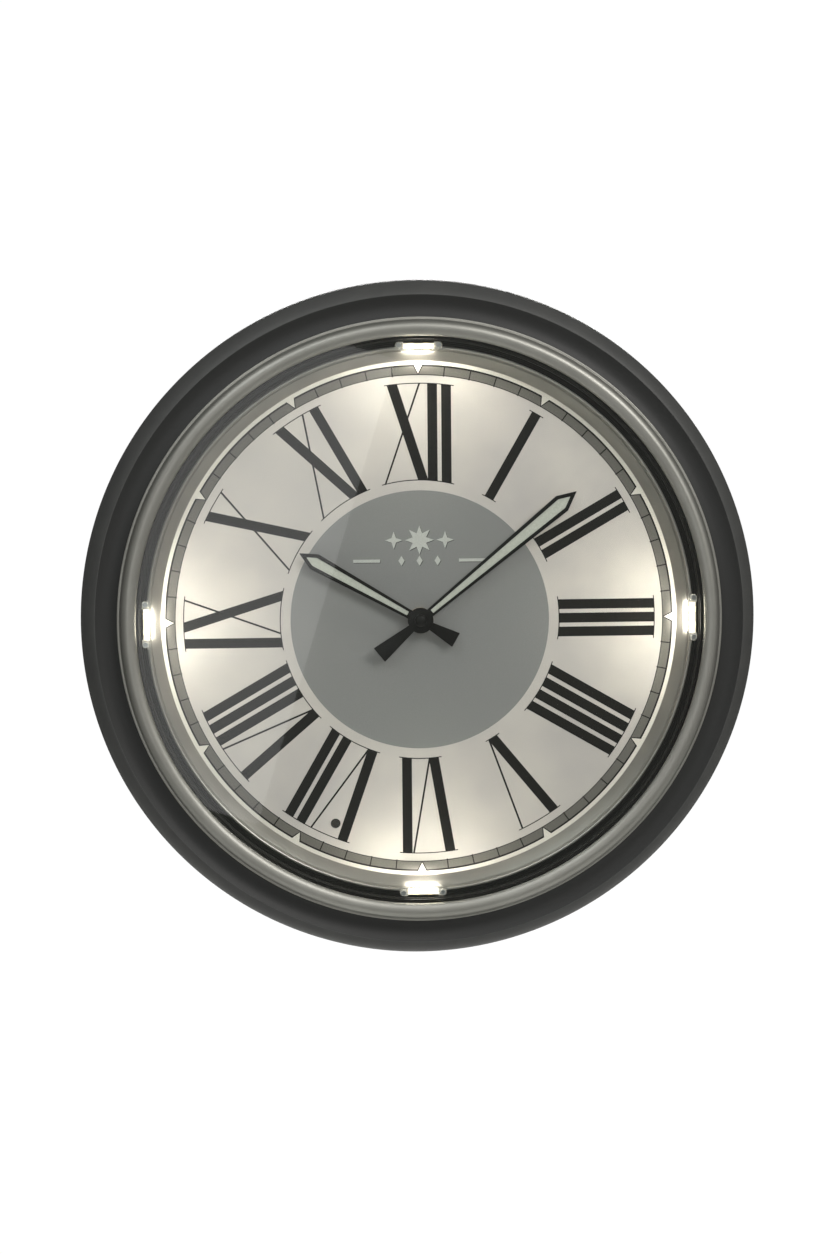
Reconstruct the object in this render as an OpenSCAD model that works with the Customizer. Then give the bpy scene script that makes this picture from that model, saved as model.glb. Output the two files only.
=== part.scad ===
// Lit wall clock: a domed ring case with a glazed bezel, a Roman dial lit by four lamps at
// its rim, a quartz movement, and a battery box and lamp control on the rear cover.
// Frame: the hands turn on the Y axis, the dial faces -Y, Z is up, and the wall is Y = 0.
// A depth is measured forward from the wall, so depth d lies at y = -d.
// An angle on the dial is measured clockwise from twelve, seen from the front.

/* [Case] */
// Outer diameter of the case
case_d = 356; // [296:1:430]
// Height of the case's ridge above the wall
ridge_h = 37; // [36:1:50]
// Height of the widest part of the case
belt_h = 20; // [14:1:24]
// Radial width of the flank outside the ridge
flank_w = 8; // [5:0.5:12]
// Radial width of the cove inside the ridge
cove_w = 11.5; // [9:0.5:16]
// Depth of the cove below the ridge
cove_drop = 2.6; // [1:0.2:4]
// Radial set-back of the rear rim from the belt
rim_set = 6; // [3:0.5:8]
// Wall thickness of the case
case_wall = 3; // [2:0.5:4]

/* [Bezel and glass] */
// Radial width of the bezel
bezel_w = 10; // [9:0.5:14]
// Height of the bezel above its seat
bezel_h = 8; // [7:0.5:10]
// Thickness of the front glass
glass_t = 2.5; // [2:0.5:3]
// How far the bezel laps over the glass
glass_lap = 3.7; // [3:0.1:4.5]
// Thickness of the gasket under the glass
gasket_t = 2; // [1.5:0.5:3]
// Number of bezel screws
bezel_screw_n = 6; // [4:1:8]

/* [Dial and reflector] */
// Drop from the ridge to the face of the dial
dial_drop = 9; // [8:0.5:11]
// Thickness of the dial
dial_t = 1; // [0.6:0.1:1.4]
// Radial width of the sloped reflector face
slope_w = 6.3; // [5:0.1:9]
// Radial width of the lamp ledge
ledge_w = 4.4; // [4.2:0.1:6]
// Wall thickness of the reflector
reflector_t = 1.5; // [1.2:0.1:2]
// Length of a lamp window
window_l = 16.2; // [12:0.2:20]
// Radial width of a lamp window
window_w = 3.2; // [2.8:0.1:3.4]
// Distance of the light sensor from the centre
sensor_dist = 116.7; // [60:0.1:122]
// Angle of the light sensor
sensor_angle = 203; // [190:1:250]
// Diameter of the light sensor
sensor_d = 5; // [3:0.5:6]

/* [Hands] */
// Minute hand from centre to tip
minute_len = 106.2; // [70:0.2:112]
// Minute hand's tail
minute_tail = 28.2; // [15:0.2:34]
// Minute hand's greatest width
minute_w = 9.9; // [7:0.1:12]
// Angle of the minute hand
minute_angle = 50.9; // [0:0.1:360]
// Hour hand from centre to tip
hour_len = 72.8; // [45:0.2:90]
// Hour hand's tail
hour_tail = 21.4; // [12:0.2:28]
// Hour hand's greatest width
hour_w = 8.9; // [7:0.1:12]
// Angle of the hour hand
hour_angle = 299.7; // [0:0.1:360]
// Diameter of the hub disc on each hand
hub_d = 13.4; // [13:0.2:18]
// Thickness of a hand
hand_t = 0.5; // [0.4:0.1:0.8]
// Width of the black border round the luminous strip
hand_border = 1.6; // [1:0.1:2]

/* [Movement] */
// Width and height of the movement
movement_w = 56; // [55:0.5:60]
// Depth of the movement's case
movement_t = 17; // [17:0.5:18]
// Wall thickness of the movement's case
movement_wall = 1.5; // [1.2:0.1:1.8]
// Diameter of the threaded bush
bush_d = 8; // [7.6:0.1:9]
// Radius of the setting knob
knob_r = 5; // [4:0.5:6]

/* [Rear cover] */
// Thickness of the rear cover
cover_t = 2; // [1.5:0.5:2.5]
// Height of the rear cover's outer face above the wall
cover_h = 6; // [5:0.5:6]
// Number of case screws
case_screw_n = 6; // [4:1:8]
// Height of the keyhole's entry above the centre
keyhole_z = 112; // [90:1:120]
// Diameter of the keyhole's entry
keyhole_d = 9; // [8:0.5:11]
// Width of the keyhole's slot
keyhole_slot = 4.6; // [4:0.2:5]
// Rise from the entry to the end of the slot
keyhole_rise = 8; // [6:0.5:10]

/* [Lamp battery] */
// Place of the battery box across the cover
box_x = 82; // [72:1:84]
// Place of the battery box up the cover
box_z = -2; // [-6:1:4]
// Diameter of a cell
cell_d = 14.2; // [13.5:0.1:14.5]
// Length of a cell with its button
cell_l = 50.5; // [44:0.5:51]
// Number of lamp cells
cell_n = 3; // [2:1:3]
// Wall thickness of the battery box
box_wall = 1.5; // [1:0.1:2]

/* [Fits] */
// Radial running clearance of arbors and pipes
run_gap = 0.05; // [0.02:0.01:0.08]
// Clearance round plates and covers
fit_gap = 0.3; // [0.2:0.1:0.5]

/* [Hidden] */
$fn = 96;

// Rings of the case, from the outside in
case_r = case_d / 2;
ridge_r = case_r - flank_w;
bezel_r = ridge_r - cove_w;
sight_r = bezel_r - bezel_w;
glass_r = sight_r + glass_lap;
gasket_lip = 2.1;
ledge_r = sight_r - gasket_lip;
slope_top_r = ledge_r - ledge_w;
slope_foot_r = slope_top_r - slope_w;
dial_r = slope_foot_r + 4;
rim_r = case_r - rim_set;
cover_r = rim_r - case_wall - fit_gap;
boss_ring_r = bezel_r + 1.5;
bezel_screw_ring = (glass_r + bezel_r) / 2 + 0.2;

// Heights of the front stack
seat_h = ridge_h - 1;
glass_h = seat_h + gasket_t;
bezel_top = seat_h + bezel_h;
ledge_h = seat_h - 1;
flange_t = 2.5;
flange_r = sight_r + gasket_lip;
dial_h = ridge_h - dial_drop;
dial_back = dial_h - dial_t;
cover_top = cover_h + cover_t;
side_sweep = 70;

// Lamps on the ledge at twelve, three, six and nine
lamp_r = slope_top_r + 1.1;
lamp_board_h = ledge_h - 2.8;
lamp_board_t = 0.8;
ear_x = window_l / 2 + 2.4;
ear_r = 1.8;
ear_t = 1.2;
lamp_screw_r = 0.7;
wire_r = 0.7;
lead_r = 0.5;
wire_ring_h = lamp_board_h - 3.2;

// Dial support rib of the rear cover and the notches that let wires through it
rib_r = dial_r - 5;
rib_t = 2.5;
feed_angle = 55;
feed_h = dial_back - 2;
feed_end = 108;
sensor_x = sensor_dist * sin(sensor_angle);
sensor_z = sensor_dist * cos(sensor_angle);
sensor_wire_h = dial_back - 7.5;

// Movement: front face, inside, and the partition above its battery bay
move_front = dial_back - 1;
move_back = move_front - movement_t;
move_in = movement_w / 2 - movement_wall;
move_wall_h = move_front - movement_wall;
bay_z = movement_wall - movement_w / 2 + cell_d + 0.8;
move_cover_t = 1.4;
bush_r = bush_d / 2;
bush_top = dial_h + 3;
hour_pipe_r = 2.5;
minute_pipe_r = 1.5;
hour_hand_h = dial_h + 4;
minute_hand_h = hour_hand_h + 1.7;
minute_top = minute_hand_h + hand_t;
hub_rise = 0.2;

// Wheels: teeth and modules; a pair's modules give its two arbors' distance
motion_dist = 9;
train_dist = 8.5;
second_dist = 8.64;
rotor_dist = 8.4;
minute_pinion_n = 12;
minute_wheel_n = 36;
hour_pinion_n = 12;
hour_wheel_n = 48;
train_pinion_n = 8;
third_wheel_n = 64;
centre_wheel_n = 60;
second_wheel_n = 60;
step_pinion_n = 12;
step_wheel_n = 72;
arbor_r = 0.5;
pivot_r = 0.3;
knob_arbor_r = 0.8;

// Directions and places of the arbors round the centre
motion_dir = 300;
third_dir = 60;
step_dir = 0;
rotor_dir = 335;
motion_at = polar(motion_dist, motion_dir);
third_at = polar(train_dist, third_dir);
step_at = polar(second_dist, step_dir);
rotor_at = step_at + polar(rotor_dist, rotor_dir);

// Heights of the wheels, from the rear of the movement forward
step_wheel_h = move_back + 2.8;
second_wheel_h = step_wheel_h + 1.8;
third_wheel_h = second_wheel_h + 2.4;
centre_wheel_h = third_wheel_h + 2.6;
minute_wheel_h = centre_wheel_h + 2.4;
hour_wheel_h = minute_wheel_h + 1.6;
wheel_t = 0.8;
magnet_r = 2;
stator_h = second_wheel_h + 0.8;
coil_z = move_in - 3.9;
coil_h = stator_h + 1.4;
boss_h = centre_wheel_h + 2.4;

// Lamp battery box, its cells side by side
cell_pitch = cell_d + 0.8;
box_in_w = cell_n * cell_pitch;
box_in_l = cell_l + 3.5;
box_w = box_in_w + 2 * box_wall;
box_l = box_in_l + 2 * box_wall;
door_t = 1.6;
door_back = cover_h + door_t;
cell_h = door_back + cell_d / 2 + 0.6;
box_floor = cell_h + cell_d / 2 + 0.6;
box_tab = 5;
box_screw_x = box_w / 2 + box_tab / 2 + fit_gap;
box_screw_z = 20;

// Lamp control board and its slide switch
board_w = 38;
board_l = 26;
board_x = 81;
board_z = 57;
board_h = cover_top + 5;
board_t = 1.6;
board_front = board_h + board_t;
switch_w = 13;
switch_l = 6;
switch_travel = 3;
lever_w = 3;

// Keyhole plate
plate_t = 1.5;
plate_w = 60;
plate_l = 30;
plate_screw_x = 23;

// Screws: shank radius, head radius, head height
case_screw = [1.5, 2.8, 2];
bezel_screw = [1.1, 2.1, 1.4];
small_screw = [1, 1.8, 1.2];

// ---- Shared shapes ----

function polar(r, a) = [r * sin(a), r * cos(a)];

// A flat outline in X and Z, raised from one depth to another
module slab(from, to) {
    translate([0, -from, 0]) rotate([90, 0, 0]) linear_extrude(to - from) children();
}

// A profile in radius and depth, turned about the Y axis
module turned() {
    rotate([90, 0, 0]) rotate_extrude() children();
}

module at(p) {
    translate([p[0], 0, p[1]]) children();
}

// Turn clockwise on the dial
module clockwise(a) {
    rotate([0, a, 0]) children();
}

module rod(r, from, to) {
    slab(from, to) circle(r);
}

module tube(r_out, r_in, from, to) {
    slab(from, to) difference() {
        circle(r_out);
        circle(r_in);
    }
}

module box(w, l) {
    square([w, l], center = true);
}

module rounded(w, l, r) {
    box(w - 2 * r, l);
    box(w, l - 2 * r);
    for (x = [-1, 1], z = [-1, 1])
        translate([x * (w / 2 - r), z * (l / 2 - r)]) circle(r);
}

// A screw whose head lies behind its seat, towards the wall
module screw(size, seat, length) {
    rod(size[0], seat, seat + length);
    difference() {
        turned() polygon([
            [0, seat], [size[1], seat], [size[1], seat - size[2] * 0.5],
            [size[1] * 0.7, seat - size[2]], [0, seat - size[2]]
        ]);
        for (a = [0, 90])
            clockwise(a) slab(seat - size[2] - 1, seat - size[2] * 0.4) box(size[1] * 1.2, size[0] * 0.35);
    }
}

module round_wire(points, r) {
    for (i = [1:len(points) - 1]) {
        p = points[i - 1];
        q = points[i];
        run = q - p;
        flat = norm([run[0], run[2]]);
        translate(p)
            rotate([0, flat == 0 ? 0 : atan2(run[0], run[2]), 0])
                rotate([atan2(-run[1], flat), 0, 0]) cylinder(r = r, h = norm(run));
        if (i < len(points) - 1) translate(q) sphere(r);
    }
}

// A dry cell lying along Z, button up
module cell() {
    button_l = 1.3;
    translate([0, 0, -cell_l / 2]) {
        cylinder(r = cell_d / 2, h = cell_l - button_l);
        translate([0, 0, cell_l - button_l]) cylinder(r = 2.7, h = button_l);
    }
}

// Spur wheel outline with straight-sided teeth; one tooth points at the given angle
module teeth_outline(n, distance, mate_n, toward) {
    mod = 2 * distance / (n + mate_n);
    root_r = mod * (n / 2 - 1.15);
    tip_r = mod * (n / 2 + 0.8);
    steps = [[-0.3, root_r], [-0.1, tip_r], [0.1, tip_r], [0.3, root_r]];
    polygon([for (i = [0:n - 1]) for (s = steps) polar(s[1], toward + 360 / n * (i + s[0]))]);
}

// The driven or driving pinion of a pair: a gap, not a tooth, points at its mate
module gap_outline(n, distance, mate_n, toward) {
    teeth_outline(n, distance, mate_n, toward + 180 / n);
}

// ---- Case ----

function flank(a, inset) = [
    case_r - inset - flank_w * (1 - cos(a)) / (1 - cos(side_sweep)),
    belt_h + (ridge_h - belt_h) * sin(a) / sin(side_sweep)
];

function rear_side(a, inset) = [
    case_r - inset - rim_set * (1 - cos(a)) / (1 - cos(side_sweep)),
    belt_h - belt_h * sin(a) / sin(side_sweep)
];

// Cove from the ridge in to the bezel's edge
function cove(u) = [
    ridge_r - cove_w * u,
    ridge_h - cove_drop * sin(180 * u) - (ridge_h - seat_h) * u
];

module case_profile() {
    roof = seat_h - flange_t;
    polygon(concat(
        [for (a = [side_sweep:-10:10]) rear_side(a, 0)],
        [for (a = [0:10:side_sweep]) flank(a, 0)],
        [for (u = [0.1:0.1:1]) cove(u)],
        [[flange_r, seat_h], [flange_r, roof], [bezel_r, roof], [bezel_r + 1, roof - 1],
         [ridge_r - case_wall, roof - 1]],
        [for (a = [50:-10:0]) flank(a, case_wall)],
        [for (a = [10:10:side_sweep]) rear_side(a, case_wall)]
    ));
}

module case_bosses(r, from, to) {
    for (i = [0:case_screw_n - 1])
        clockwise((i + 0.5) * 360 / case_screw_n) at([0, boss_ring_r]) rod(r, from, to);
}

module case_ring() {
    color("#45474a") difference() {
        union() {
            turned() case_profile();
            case_bosses(4, cover_top, seat_h - flange_t + 0.2);
        }
        case_bosses(case_screw[0], cover_top - 1, cover_top + 14);
        for (i = [0:bezel_screw_n - 1])
            clockwise(i * 360 / bezel_screw_n) at([0, bezel_screw_ring])
                rod(bezel_screw[0] + fit_gap, seat_h - flange_t - 1, seat_h + 1);
    }
}

// Rounded bead with a thin outer lip, lapping over the glass
module bezel_ring() {
    lip_w = 1.3;
    lip_h = 2;
    bead_w = bezel_w - lip_w;
    bead_base = seat_h + lip_h;
    color("#8f918f") difference() {
        turned() polygon(concat(
            [[glass_r + fit_gap, seat_h], [bezel_r, seat_h], [bezel_r, bead_base]],
            [for (a = [0:15:180]) [
                sight_r + bead_w / 2 + bead_w / 2 * cos(a),
                (a <= 90 ? bead_base : glass_h + glass_t)
                    + (a <= 90 ? bezel_top - bead_base : bezel_top - glass_h - glass_t) * sin(a)
            ]],
            [[glass_r + fit_gap, glass_h + glass_t]]
        ));
        for (i = [0:bezel_screw_n - 1])
            clockwise(i * 360 / bezel_screw_n) at([0, bezel_screw_ring])
                rod(bezel_screw[0], seat_h - 1, seat_h + 4.5);
    }
}

module bezel_screws() {
    color("silver") for (i = [0:bezel_screw_n - 1])
        clockwise(i * 360 / bezel_screw_n) at([0, bezel_screw_ring])
            screw(bezel_screw, seat_h - flange_t, flange_t + 4);
}

module lens_gasket() {
    color("#1c1d1b") turned() polygon([
        [ledge_r, ledge_h], [ledge_r, glass_h], [glass_r, glass_h], [glass_r, seat_h],
        [flange_r, seat_h], [flange_r, ledge_h]
    ]);
}

module front_glass() {
    color("#cfe0dc", 0.3) rod(glass_r, glass_h, glass_h + glass_t);
}

// ---- Reflector and lamps ----

// Repeat a lamp's pieces at the four quarters; the children stand at twelve
module each_lamp() {
    for (q = [0:3]) clockwise(q * 90) children();
}

module each_ear() {
    for (side = [-1, 1]) at([side * ear_x, lamp_r + 0.6]) children();
}

module reflector_ring() {
    pocket_gap = 0.3;
    color("#b9b8b0") difference() {
        union() {
            turned() polygon([
                [slope_foot_r, dial_h], [slope_top_r, ledge_h], [flange_r - fit_gap, ledge_h],
                [flange_r - fit_gap, ledge_h - reflector_t], [slope_top_r + 0.6, ledge_h - reflector_t],
                [slope_foot_r + 2.9, dial_h + 1.3], [slope_foot_r + 2.9, dial_h]
            ]);
            each_lamp() at([0, lamp_r + 0.4])
                slab(lamp_board_h - 1.2, ledge_h - reflector_t + 0.2) box(2 * ear_x + 4, window_w + 2);
        }
        each_lamp() {
            at([0, lamp_r])
                slab(lamp_board_h, ledge_h + 1) box(window_l + 2 * pocket_gap, window_w + 2 * pocket_gap);
            at([0, lamp_r]) rod(wire_r + 0.2, lamp_board_h - 2, lamp_board_h + 1);
            each_ear() rod(lamp_screw_r, lamp_board_h, ledge_h + 1);
        }
    }
}

// Clear covers with two screwed ears, hollow over the lamps
module led_covers() {
    top = ledge_h + 1.5;
    skin = 0.6;
    color("#f4f1e2", 0.6) each_lamp() difference() {
        union() {
            at([0, lamp_r]) slab(lamp_board_h + lamp_board_t, top) box(window_l, window_w);
            at([0, lamp_r + 0.6]) slab(ledge_h, ledge_h + ear_t) {
                box(2 * ear_x, 2 * ear_r);
                for (side = [-1, 1]) translate([side * ear_x, 0]) circle(ear_r);
            }
        }
        at([0, lamp_r]) slab(lamp_board_h, top - skin) box(window_l - 2 * skin, window_w - 2 * skin);
        each_ear() rod(lamp_screw_r, ledge_h - 1, top);
    }
}

module led_boards() {
    color("#e9e7df") each_lamp() at([0, lamp_r])
        slab(lamp_board_h, lamp_board_h + lamp_board_t) box(window_l, window_w);
}

module leds() {
    base = lamp_board_h + lamp_board_t;
    color("#fff2c8") each_lamp() for (side = [-1, 1]) at([side * window_l / 4, lamp_r])
        slab(base, base + 0.8) box(3, 1.4);
}

module led_screws() {
    head_r = 1.3;
    top = ledge_h + ear_t;
    color("silver") each_lamp() each_ear() {
        rod(lamp_screw_r, lamp_board_h + 0.4, top);
        difference() {
            rod(head_r, top, top + 0.8);
            slab(top + 0.4, top + 1) box(2, 0.4);
        }
    }
}

// A ring of twin flex behind the reflector, a riser to each lamp and a feed to the board
module led_wires() {
    color("#30302e") {
        turned() translate([lamp_r, wire_ring_h]) circle(wire_r, $fn = 24);
        each_lamp() at([0, lamp_r]) rod(lead_r, wire_ring_h, lamp_board_h);
        clockwise(feed_angle) round_wire([
            [0, -wire_ring_h, lamp_r], [0, -feed_h, lamp_r], [0, -feed_h, feed_end], [0, -board_front, feed_end]
        ], lead_r);
    }
}

// ---- Dial ----

module dial_plate() {
    color("#c9c4b8") slab(dial_back, dial_h) difference() {
        circle(dial_r);
        circle(bush_r + 0.1);
        translate([sensor_x, sensor_z]) circle(sensor_d / 2 + 0.1);
    }
}

module sensor_holder() {
    color("#222222") at([sensor_x, sensor_z])
        tube(sensor_d / 2 + 1.6, sensor_d / 2 + run_gap, dial_back - 6, dial_back);
}

module light_sensor() {
    color("#7a4a3a") at([sensor_x, sensor_z]) rod(sensor_d / 2, dial_back - 2.4, dial_back - 0.4);
}

module sensor_wires() {
    end_angle = feed_angle + 2;
    spare = 0.5;
    color("#30302e") {
        at([sensor_x, sensor_z]) rod(lead_r, sensor_wire_h, dial_back - 2.4);
        rotate([90, 0, 0]) rotate([0, 0, 90 - sensor_angle - spare])
            rotate_extrude(angle = sensor_angle - end_angle + 2 * spare)
                translate([sensor_dist, sensor_wire_h]) circle(wire_r, $fn = 24);
        at(polar(sensor_dist, end_angle)) rod(lead_r, board_front, sensor_wire_h);
    }
}

// ---- Rear cover ----

module keyhole() {
    circle(keyhole_d / 2);
    translate([-keyhole_slot / 2, 0]) square([keyhole_slot, keyhole_rise]);
    translate([0, keyhole_rise]) circle(keyhole_slot / 2);
}

module back_cover() {
    window = movement_w + 6;
    color("#2e2f31") difference() {
        union() {
            rod(cover_r, cover_h, cover_top);
            tube(rib_r, rib_r - rib_t, cover_top, dial_back);
            for (x = [-1, 1], z = [-1, 1])
                at([board_x + x * (board_w / 2 - 3), board_z + z * (board_l / 2 - 3)])
                    rod(2.5, cover_top, board_h);
            for (x = [-1, 1]) at([x * plate_screw_x, keyhole_z]) rod(3.5, cover_top, cover_top + 4);
        }
        slab(cover_h - 1, cover_top + 1) box(window, window);
        at([box_x, box_z]) slab(cover_h - 1, cover_top + 1) box(box_w + 2 * fit_gap, box_l + 2 * fit_gap);
        at([0, keyhole_z + 2]) slab(cover_h - 1, cover_top + 1) rounded(16, 26, 4);
        at([board_x, board_z]) slab(cover_h - 1, cover_top + 1) box(lever_w + 2 * switch_travel + 1, 3);
        case_bosses(case_screw[0] + fit_gap, cover_h - 1, cover_top + 1);
        for (x = [-1, 1]) {
            at([x * plate_screw_x, keyhole_z]) rod(small_screw[0], cover_h - 1, cover_top + 3);
            for (z = [-1, 1]) {
                at([box_x + x * box_screw_x, box_z + z * box_screw_z])
                    rod(small_screw[0] + fit_gap, cover_h - 1, cover_top + 1);
                at([board_x + x * (board_w / 2 - 3), board_z + z * (board_l / 2 - 3)])
                    rod(small_screw[0], cover_top + 0.5, board_h + 1);
            }
        }
        clockwise(feed_angle) at([0, rib_r]) slab(feed_h - 1.5, dial_back + 1) box(4, 4 * rib_t);
    }
}

module case_screws() {
    color("silver") for (i = [0:case_screw_n - 1])
        clockwise((i + 0.5) * 360 / case_screw_n) at([0, boss_ring_r]) screw(case_screw, cover_h, cover_t + 12);
}

module hanger_plate() {
    color("#b8bcc0") slab(cover_h - plate_t, cover_h) difference() {
        translate([0, keyhole_z + 2]) rounded(plate_w, plate_l, 3);
        translate([0, keyhole_z]) keyhole();
        for (x = [-1, 1]) translate([x * plate_screw_x, keyhole_z]) circle(small_screw[0] + 0.1);
    }
}

module hanger_screws() {
    color("silver") for (x = [-1, 1])
        at([x * plate_screw_x, keyhole_z]) screw(small_screw, cover_h - plate_t, plate_t + cover_t + 2);
}

// ---- Lamp control ----

module control_board() {
    front = board_front;
    color("#2f6b45") at([board_x, board_z]) {
        slab(board_h, front) difference() {
            box(board_w, board_l);
            for (x = [-1, 1], z = [-1, 1])
                translate([x * (board_w / 2 - 3), z * (board_l / 2 - 3)]) circle(small_screw[0] + 0.1);
        }
        at([-4, -1]) slab(front, front + 1.5) box(9, 6);
        at([-13, 1]) rod(2.5, front, front + 5);
        at([3, -8]) slab(front, front + 1) box(3, 2);
    }
}

module board_screws() {
    head = 1.2;
    color("silver") for (x = [-1, 1], z = [-1, 1])
        at([board_x + x * (board_w / 2 - 3), board_z + z * (board_l / 2 - 3)]) {
            rod(small_screw[0], cover_top + 0.8, board_front);
            rod(small_screw[1], board_front, board_front + head);
        }
}

module switch_body() {
    inner_w = lever_w + 2 * switch_travel + 1;
    color("#a9adb0") at([board_x, board_z]) difference() {
        slab(cover_top, board_h) box(switch_w, switch_l);
        slab(cover_top - 1, cover_top + 2.6) box(inner_w, 3);
        slab(cover_top + 0.6, cover_top + 2.6) box(switch_w - 1.6, switch_l - 1.6);
    }
}

module switch_slider() {
    rest_x = -switch_travel / 2;
    color("#1d1d1d") at([board_x + rest_x, board_z]) {
        slab(cover_top + 0.9, cover_top + 2.3) box(lever_w + 3, switch_l - 2.2);
        slab(cover_h - 1.6, cover_top + 1) box(lever_w, 2.4);
    }
}

module battery_wires() {
    run_h = board_front + 3;
    top = box_z + box_l / 2;
    color("#30302e") for (x = [board_x - 8, board_x - 4])
        round_wire([
            [x, -run_h, top], [x, -run_h, board_z - 11], [x, -board_front, board_z - 11]
        ], lead_r);
}

// ---- Lamp battery ----

module each_cell() {
    for (i = [0:cell_n - 1])
        translate([box_x + (i - (cell_n - 1) / 2) * cell_pitch, -cell_h, box_z])
            rotate([i % 2 == 0 ? 0 : 180, 0, 0]) children();
}

module battery_box() {
    color("#2e2f31") at([box_x, box_z]) difference() {
        union() {
            slab(door_back, box_floor + box_wall) box(box_w, box_l);
            for (x = [-1, 1], z = [-1, 1])
                at([x * box_screw_x, z * box_screw_z]) slab(cover_top, cover_top + 3) box(box_tab + 1, 8);
        }
        slab(door_back - 1, box_floor) box(box_in_w, box_in_l);
        for (x = [-1, 1], z = [-1, 1])
            at([x * box_screw_x, z * box_screw_z]) rod(small_screw[0], cover_top - 1, cover_top + 2.6);
    }
}

module battery_door() {
    color("#2e2f31") at([box_x, box_z]) difference() {
        union() {
            slab(cover_h, door_back) box(box_w, box_l);
            for (z = [-1, 1])
                at([0, z * (box_in_l / 2 - 0.9)]) slab(door_back, door_back + 2) box(12, 1.2);
        }
        for (i = [0:3]) at([0, box_l / 2 - 5 - 2 * i]) slab(cover_h - 1, cover_h + 0.5) box(14, 1);
    }
}

// Spring cone at a cell's flat end, plate at its button
module battery_contacts() {
    gap = (box_in_l - cell_l) / 2;
    color("silver") each_cell() {
        translate([-5, -5, cell_l / 2]) cube([10, 10, gap]);
        translate([0, 0, -box_in_l / 2]) difference() {
            cylinder(r1 = 4.5, r2 = 3, h = gap);
            translate([0, 0, -1]) cylinder(r = 2.4, h = gap + 2);
        }
    }
}

module lamp_cells() {
    color("#c98a3a") each_cell() cell();
}

module box_screws() {
    color("silver") for (x = [-1, 1], z = [-1, 1])
        at([box_x + x * box_screw_x, box_z + z * box_screw_z]) screw(small_screw, cover_h, cover_t + 2.4);
}

// ---- Movement case ----

module each_corner() {
    inset = 1.6;
    for (x = [-1, 1], z = [move_in - inset, bay_z + movement_wall + inset])
        at([x * (move_in - inset), z]) children();
}

module pivot_boss(p, from) {
    at(p) rod(0.8, from, move_wall_h + 0.2);
}

module pivot_hole(p, from, deep) {
    at(p) rod(pivot_r + run_gap, from - 0.5, from + deep);
}

module movement_case() {
    cell_mid = (bay_z - move_in) / 2;
    color("#1f2022") difference() {
        union() {
            difference() {
                slab(move_back, move_front) rounded(movement_w, movement_w, 2);
                slab(move_back - 1, move_wall_h) {
                    translate([-move_in, bay_z + movement_wall])
                        square([2 * move_in, move_in - bay_z - movement_wall]);
                    translate([-move_in, -move_in]) square([2 * move_in, bay_z + move_in]);
                }
            }
            each_corner() rod(2, move_back, move_wall_h + 0.2);
            pivot_boss(third_at, centre_wheel_h + 2.4);
            pivot_boss(step_at, centre_wheel_h + 2.4);
            pivot_boss(rotor_at, centre_wheel_h + 2.4);
        }
        rod(bush_r, move_wall_h - 1, move_front + 1);
        each_corner() rod(0.8, move_back - 1, move_back + 6);
        pivot_hole(third_at, centre_wheel_h + 2.4, 0.8);
        pivot_hole(step_at, centre_wheel_h + 2.4, 0.8);
        pivot_hole(rotor_at, centre_wheel_h + 2.4, 0.8);
        pivot_hole(motion_at, move_wall_h, 0.9);
        at([0, cell_mid - 5]) slab(move_back - 1, move_back + 5) box(16, 2 * (move_in + cell_mid));
    }
}

module movement_cover() {
    color("#2a2b2e") difference() {
        slab(move_back - move_cover_t, move_back) translate([-movement_w / 2, bay_z])
            square([movement_w, movement_w / 2 - bay_z]);
        each_corner() rod(0.9, move_back - move_cover_t - 1, move_back + 1);
        at(motion_at) rod(knob_arbor_r + 0.1, move_back - move_cover_t - 1, move_back + 1);
        for (p = [[0, 0], third_at, step_at, rotor_at])
            at(p) rod(pivot_r + run_gap, move_back - 0.9, move_back + 1);
    }
}

module movement_screws() {
    color("silver") each_corner() screw([0.8, 1.5, 1], move_back - move_cover_t, move_cover_t + 5);
}

module movement_cell() {
    color("#c98a3a") translate([0, -move_wall_h + cell_d / 2 + 0.3, (bay_z - move_in) / 2])
        rotate([0, 90, 0]) cell();
}

module movement_contacts() {
    gap = move_in - cell_l / 2;
    color("silver") translate([0, -move_wall_h + cell_d / 2 + 0.3, (bay_z - move_in) / 2]) {
        translate([cell_l / 2, -5, -5]) cube([gap, 10, 10]);
        translate([-move_in, 0, 0]) rotate([0, 90, 0]) difference() {
            cylinder(r1 = 4.5, r2 = 3, h = gap);
            translate([0, 0, -1]) cylinder(r = 2.4, h = gap + 2);
        }
    }
}

// Threaded bush, and what clamps the dial on it
module centre_bush() {
    color("#c8a85a") difference() {
        union() {
            rod(bush_r, move_wall_h - 0.1, bush_top);
            rod(bush_r + 1.5, move_wall_h - 0.6, move_wall_h);
        }
        rod(hour_pipe_r + run_gap, move_wall_h - 2, bush_top + 1);
    }
}

module cushion_washer() {
    color("#26211f") tube(13, bush_r + 0.1, move_front, dial_back);
}

module dial_washer() {
    color("#c8a85a") tube(6.4, bush_r + 0.1, dial_h, dial_h + 0.4);
}

module dial_nut() {
    color("#c8a85a") slab(dial_h + 0.4, dial_h + 2.4) difference() {
        circle(6.2, $fn = 6);
        circle(bush_r);
    }
}

// ---- Quartz drive ----

module quartz_board() {
    board_at = [move_in - 5.4, 8];
    color("#2f6b45") at(board_at) {
        slab(centre_wheel_h - 1, centre_wheel_h) box(10.4, 22);
        at([1, -6]) rod(2.2, centre_wheel_h, centre_wheel_h + 0.8);
    }
}

module quartz_crystal() {
    color("silver") translate([move_in - 6, -centre_wheel_h - 1.05, 6]) cylinder(r = 1, h = 6.5);
}

module coil_core() {
    color("#8b8f92") at([2, coil_z]) slab(coil_h - 0.4, coil_h + 0.4) box(29, 1.6);
}

// The coil lies across the movement, on the core
module coil_turned(x0) {
    translate([x0, -coil_h, coil_z]) rotate([0, 90, 0]) children();
}

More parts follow.
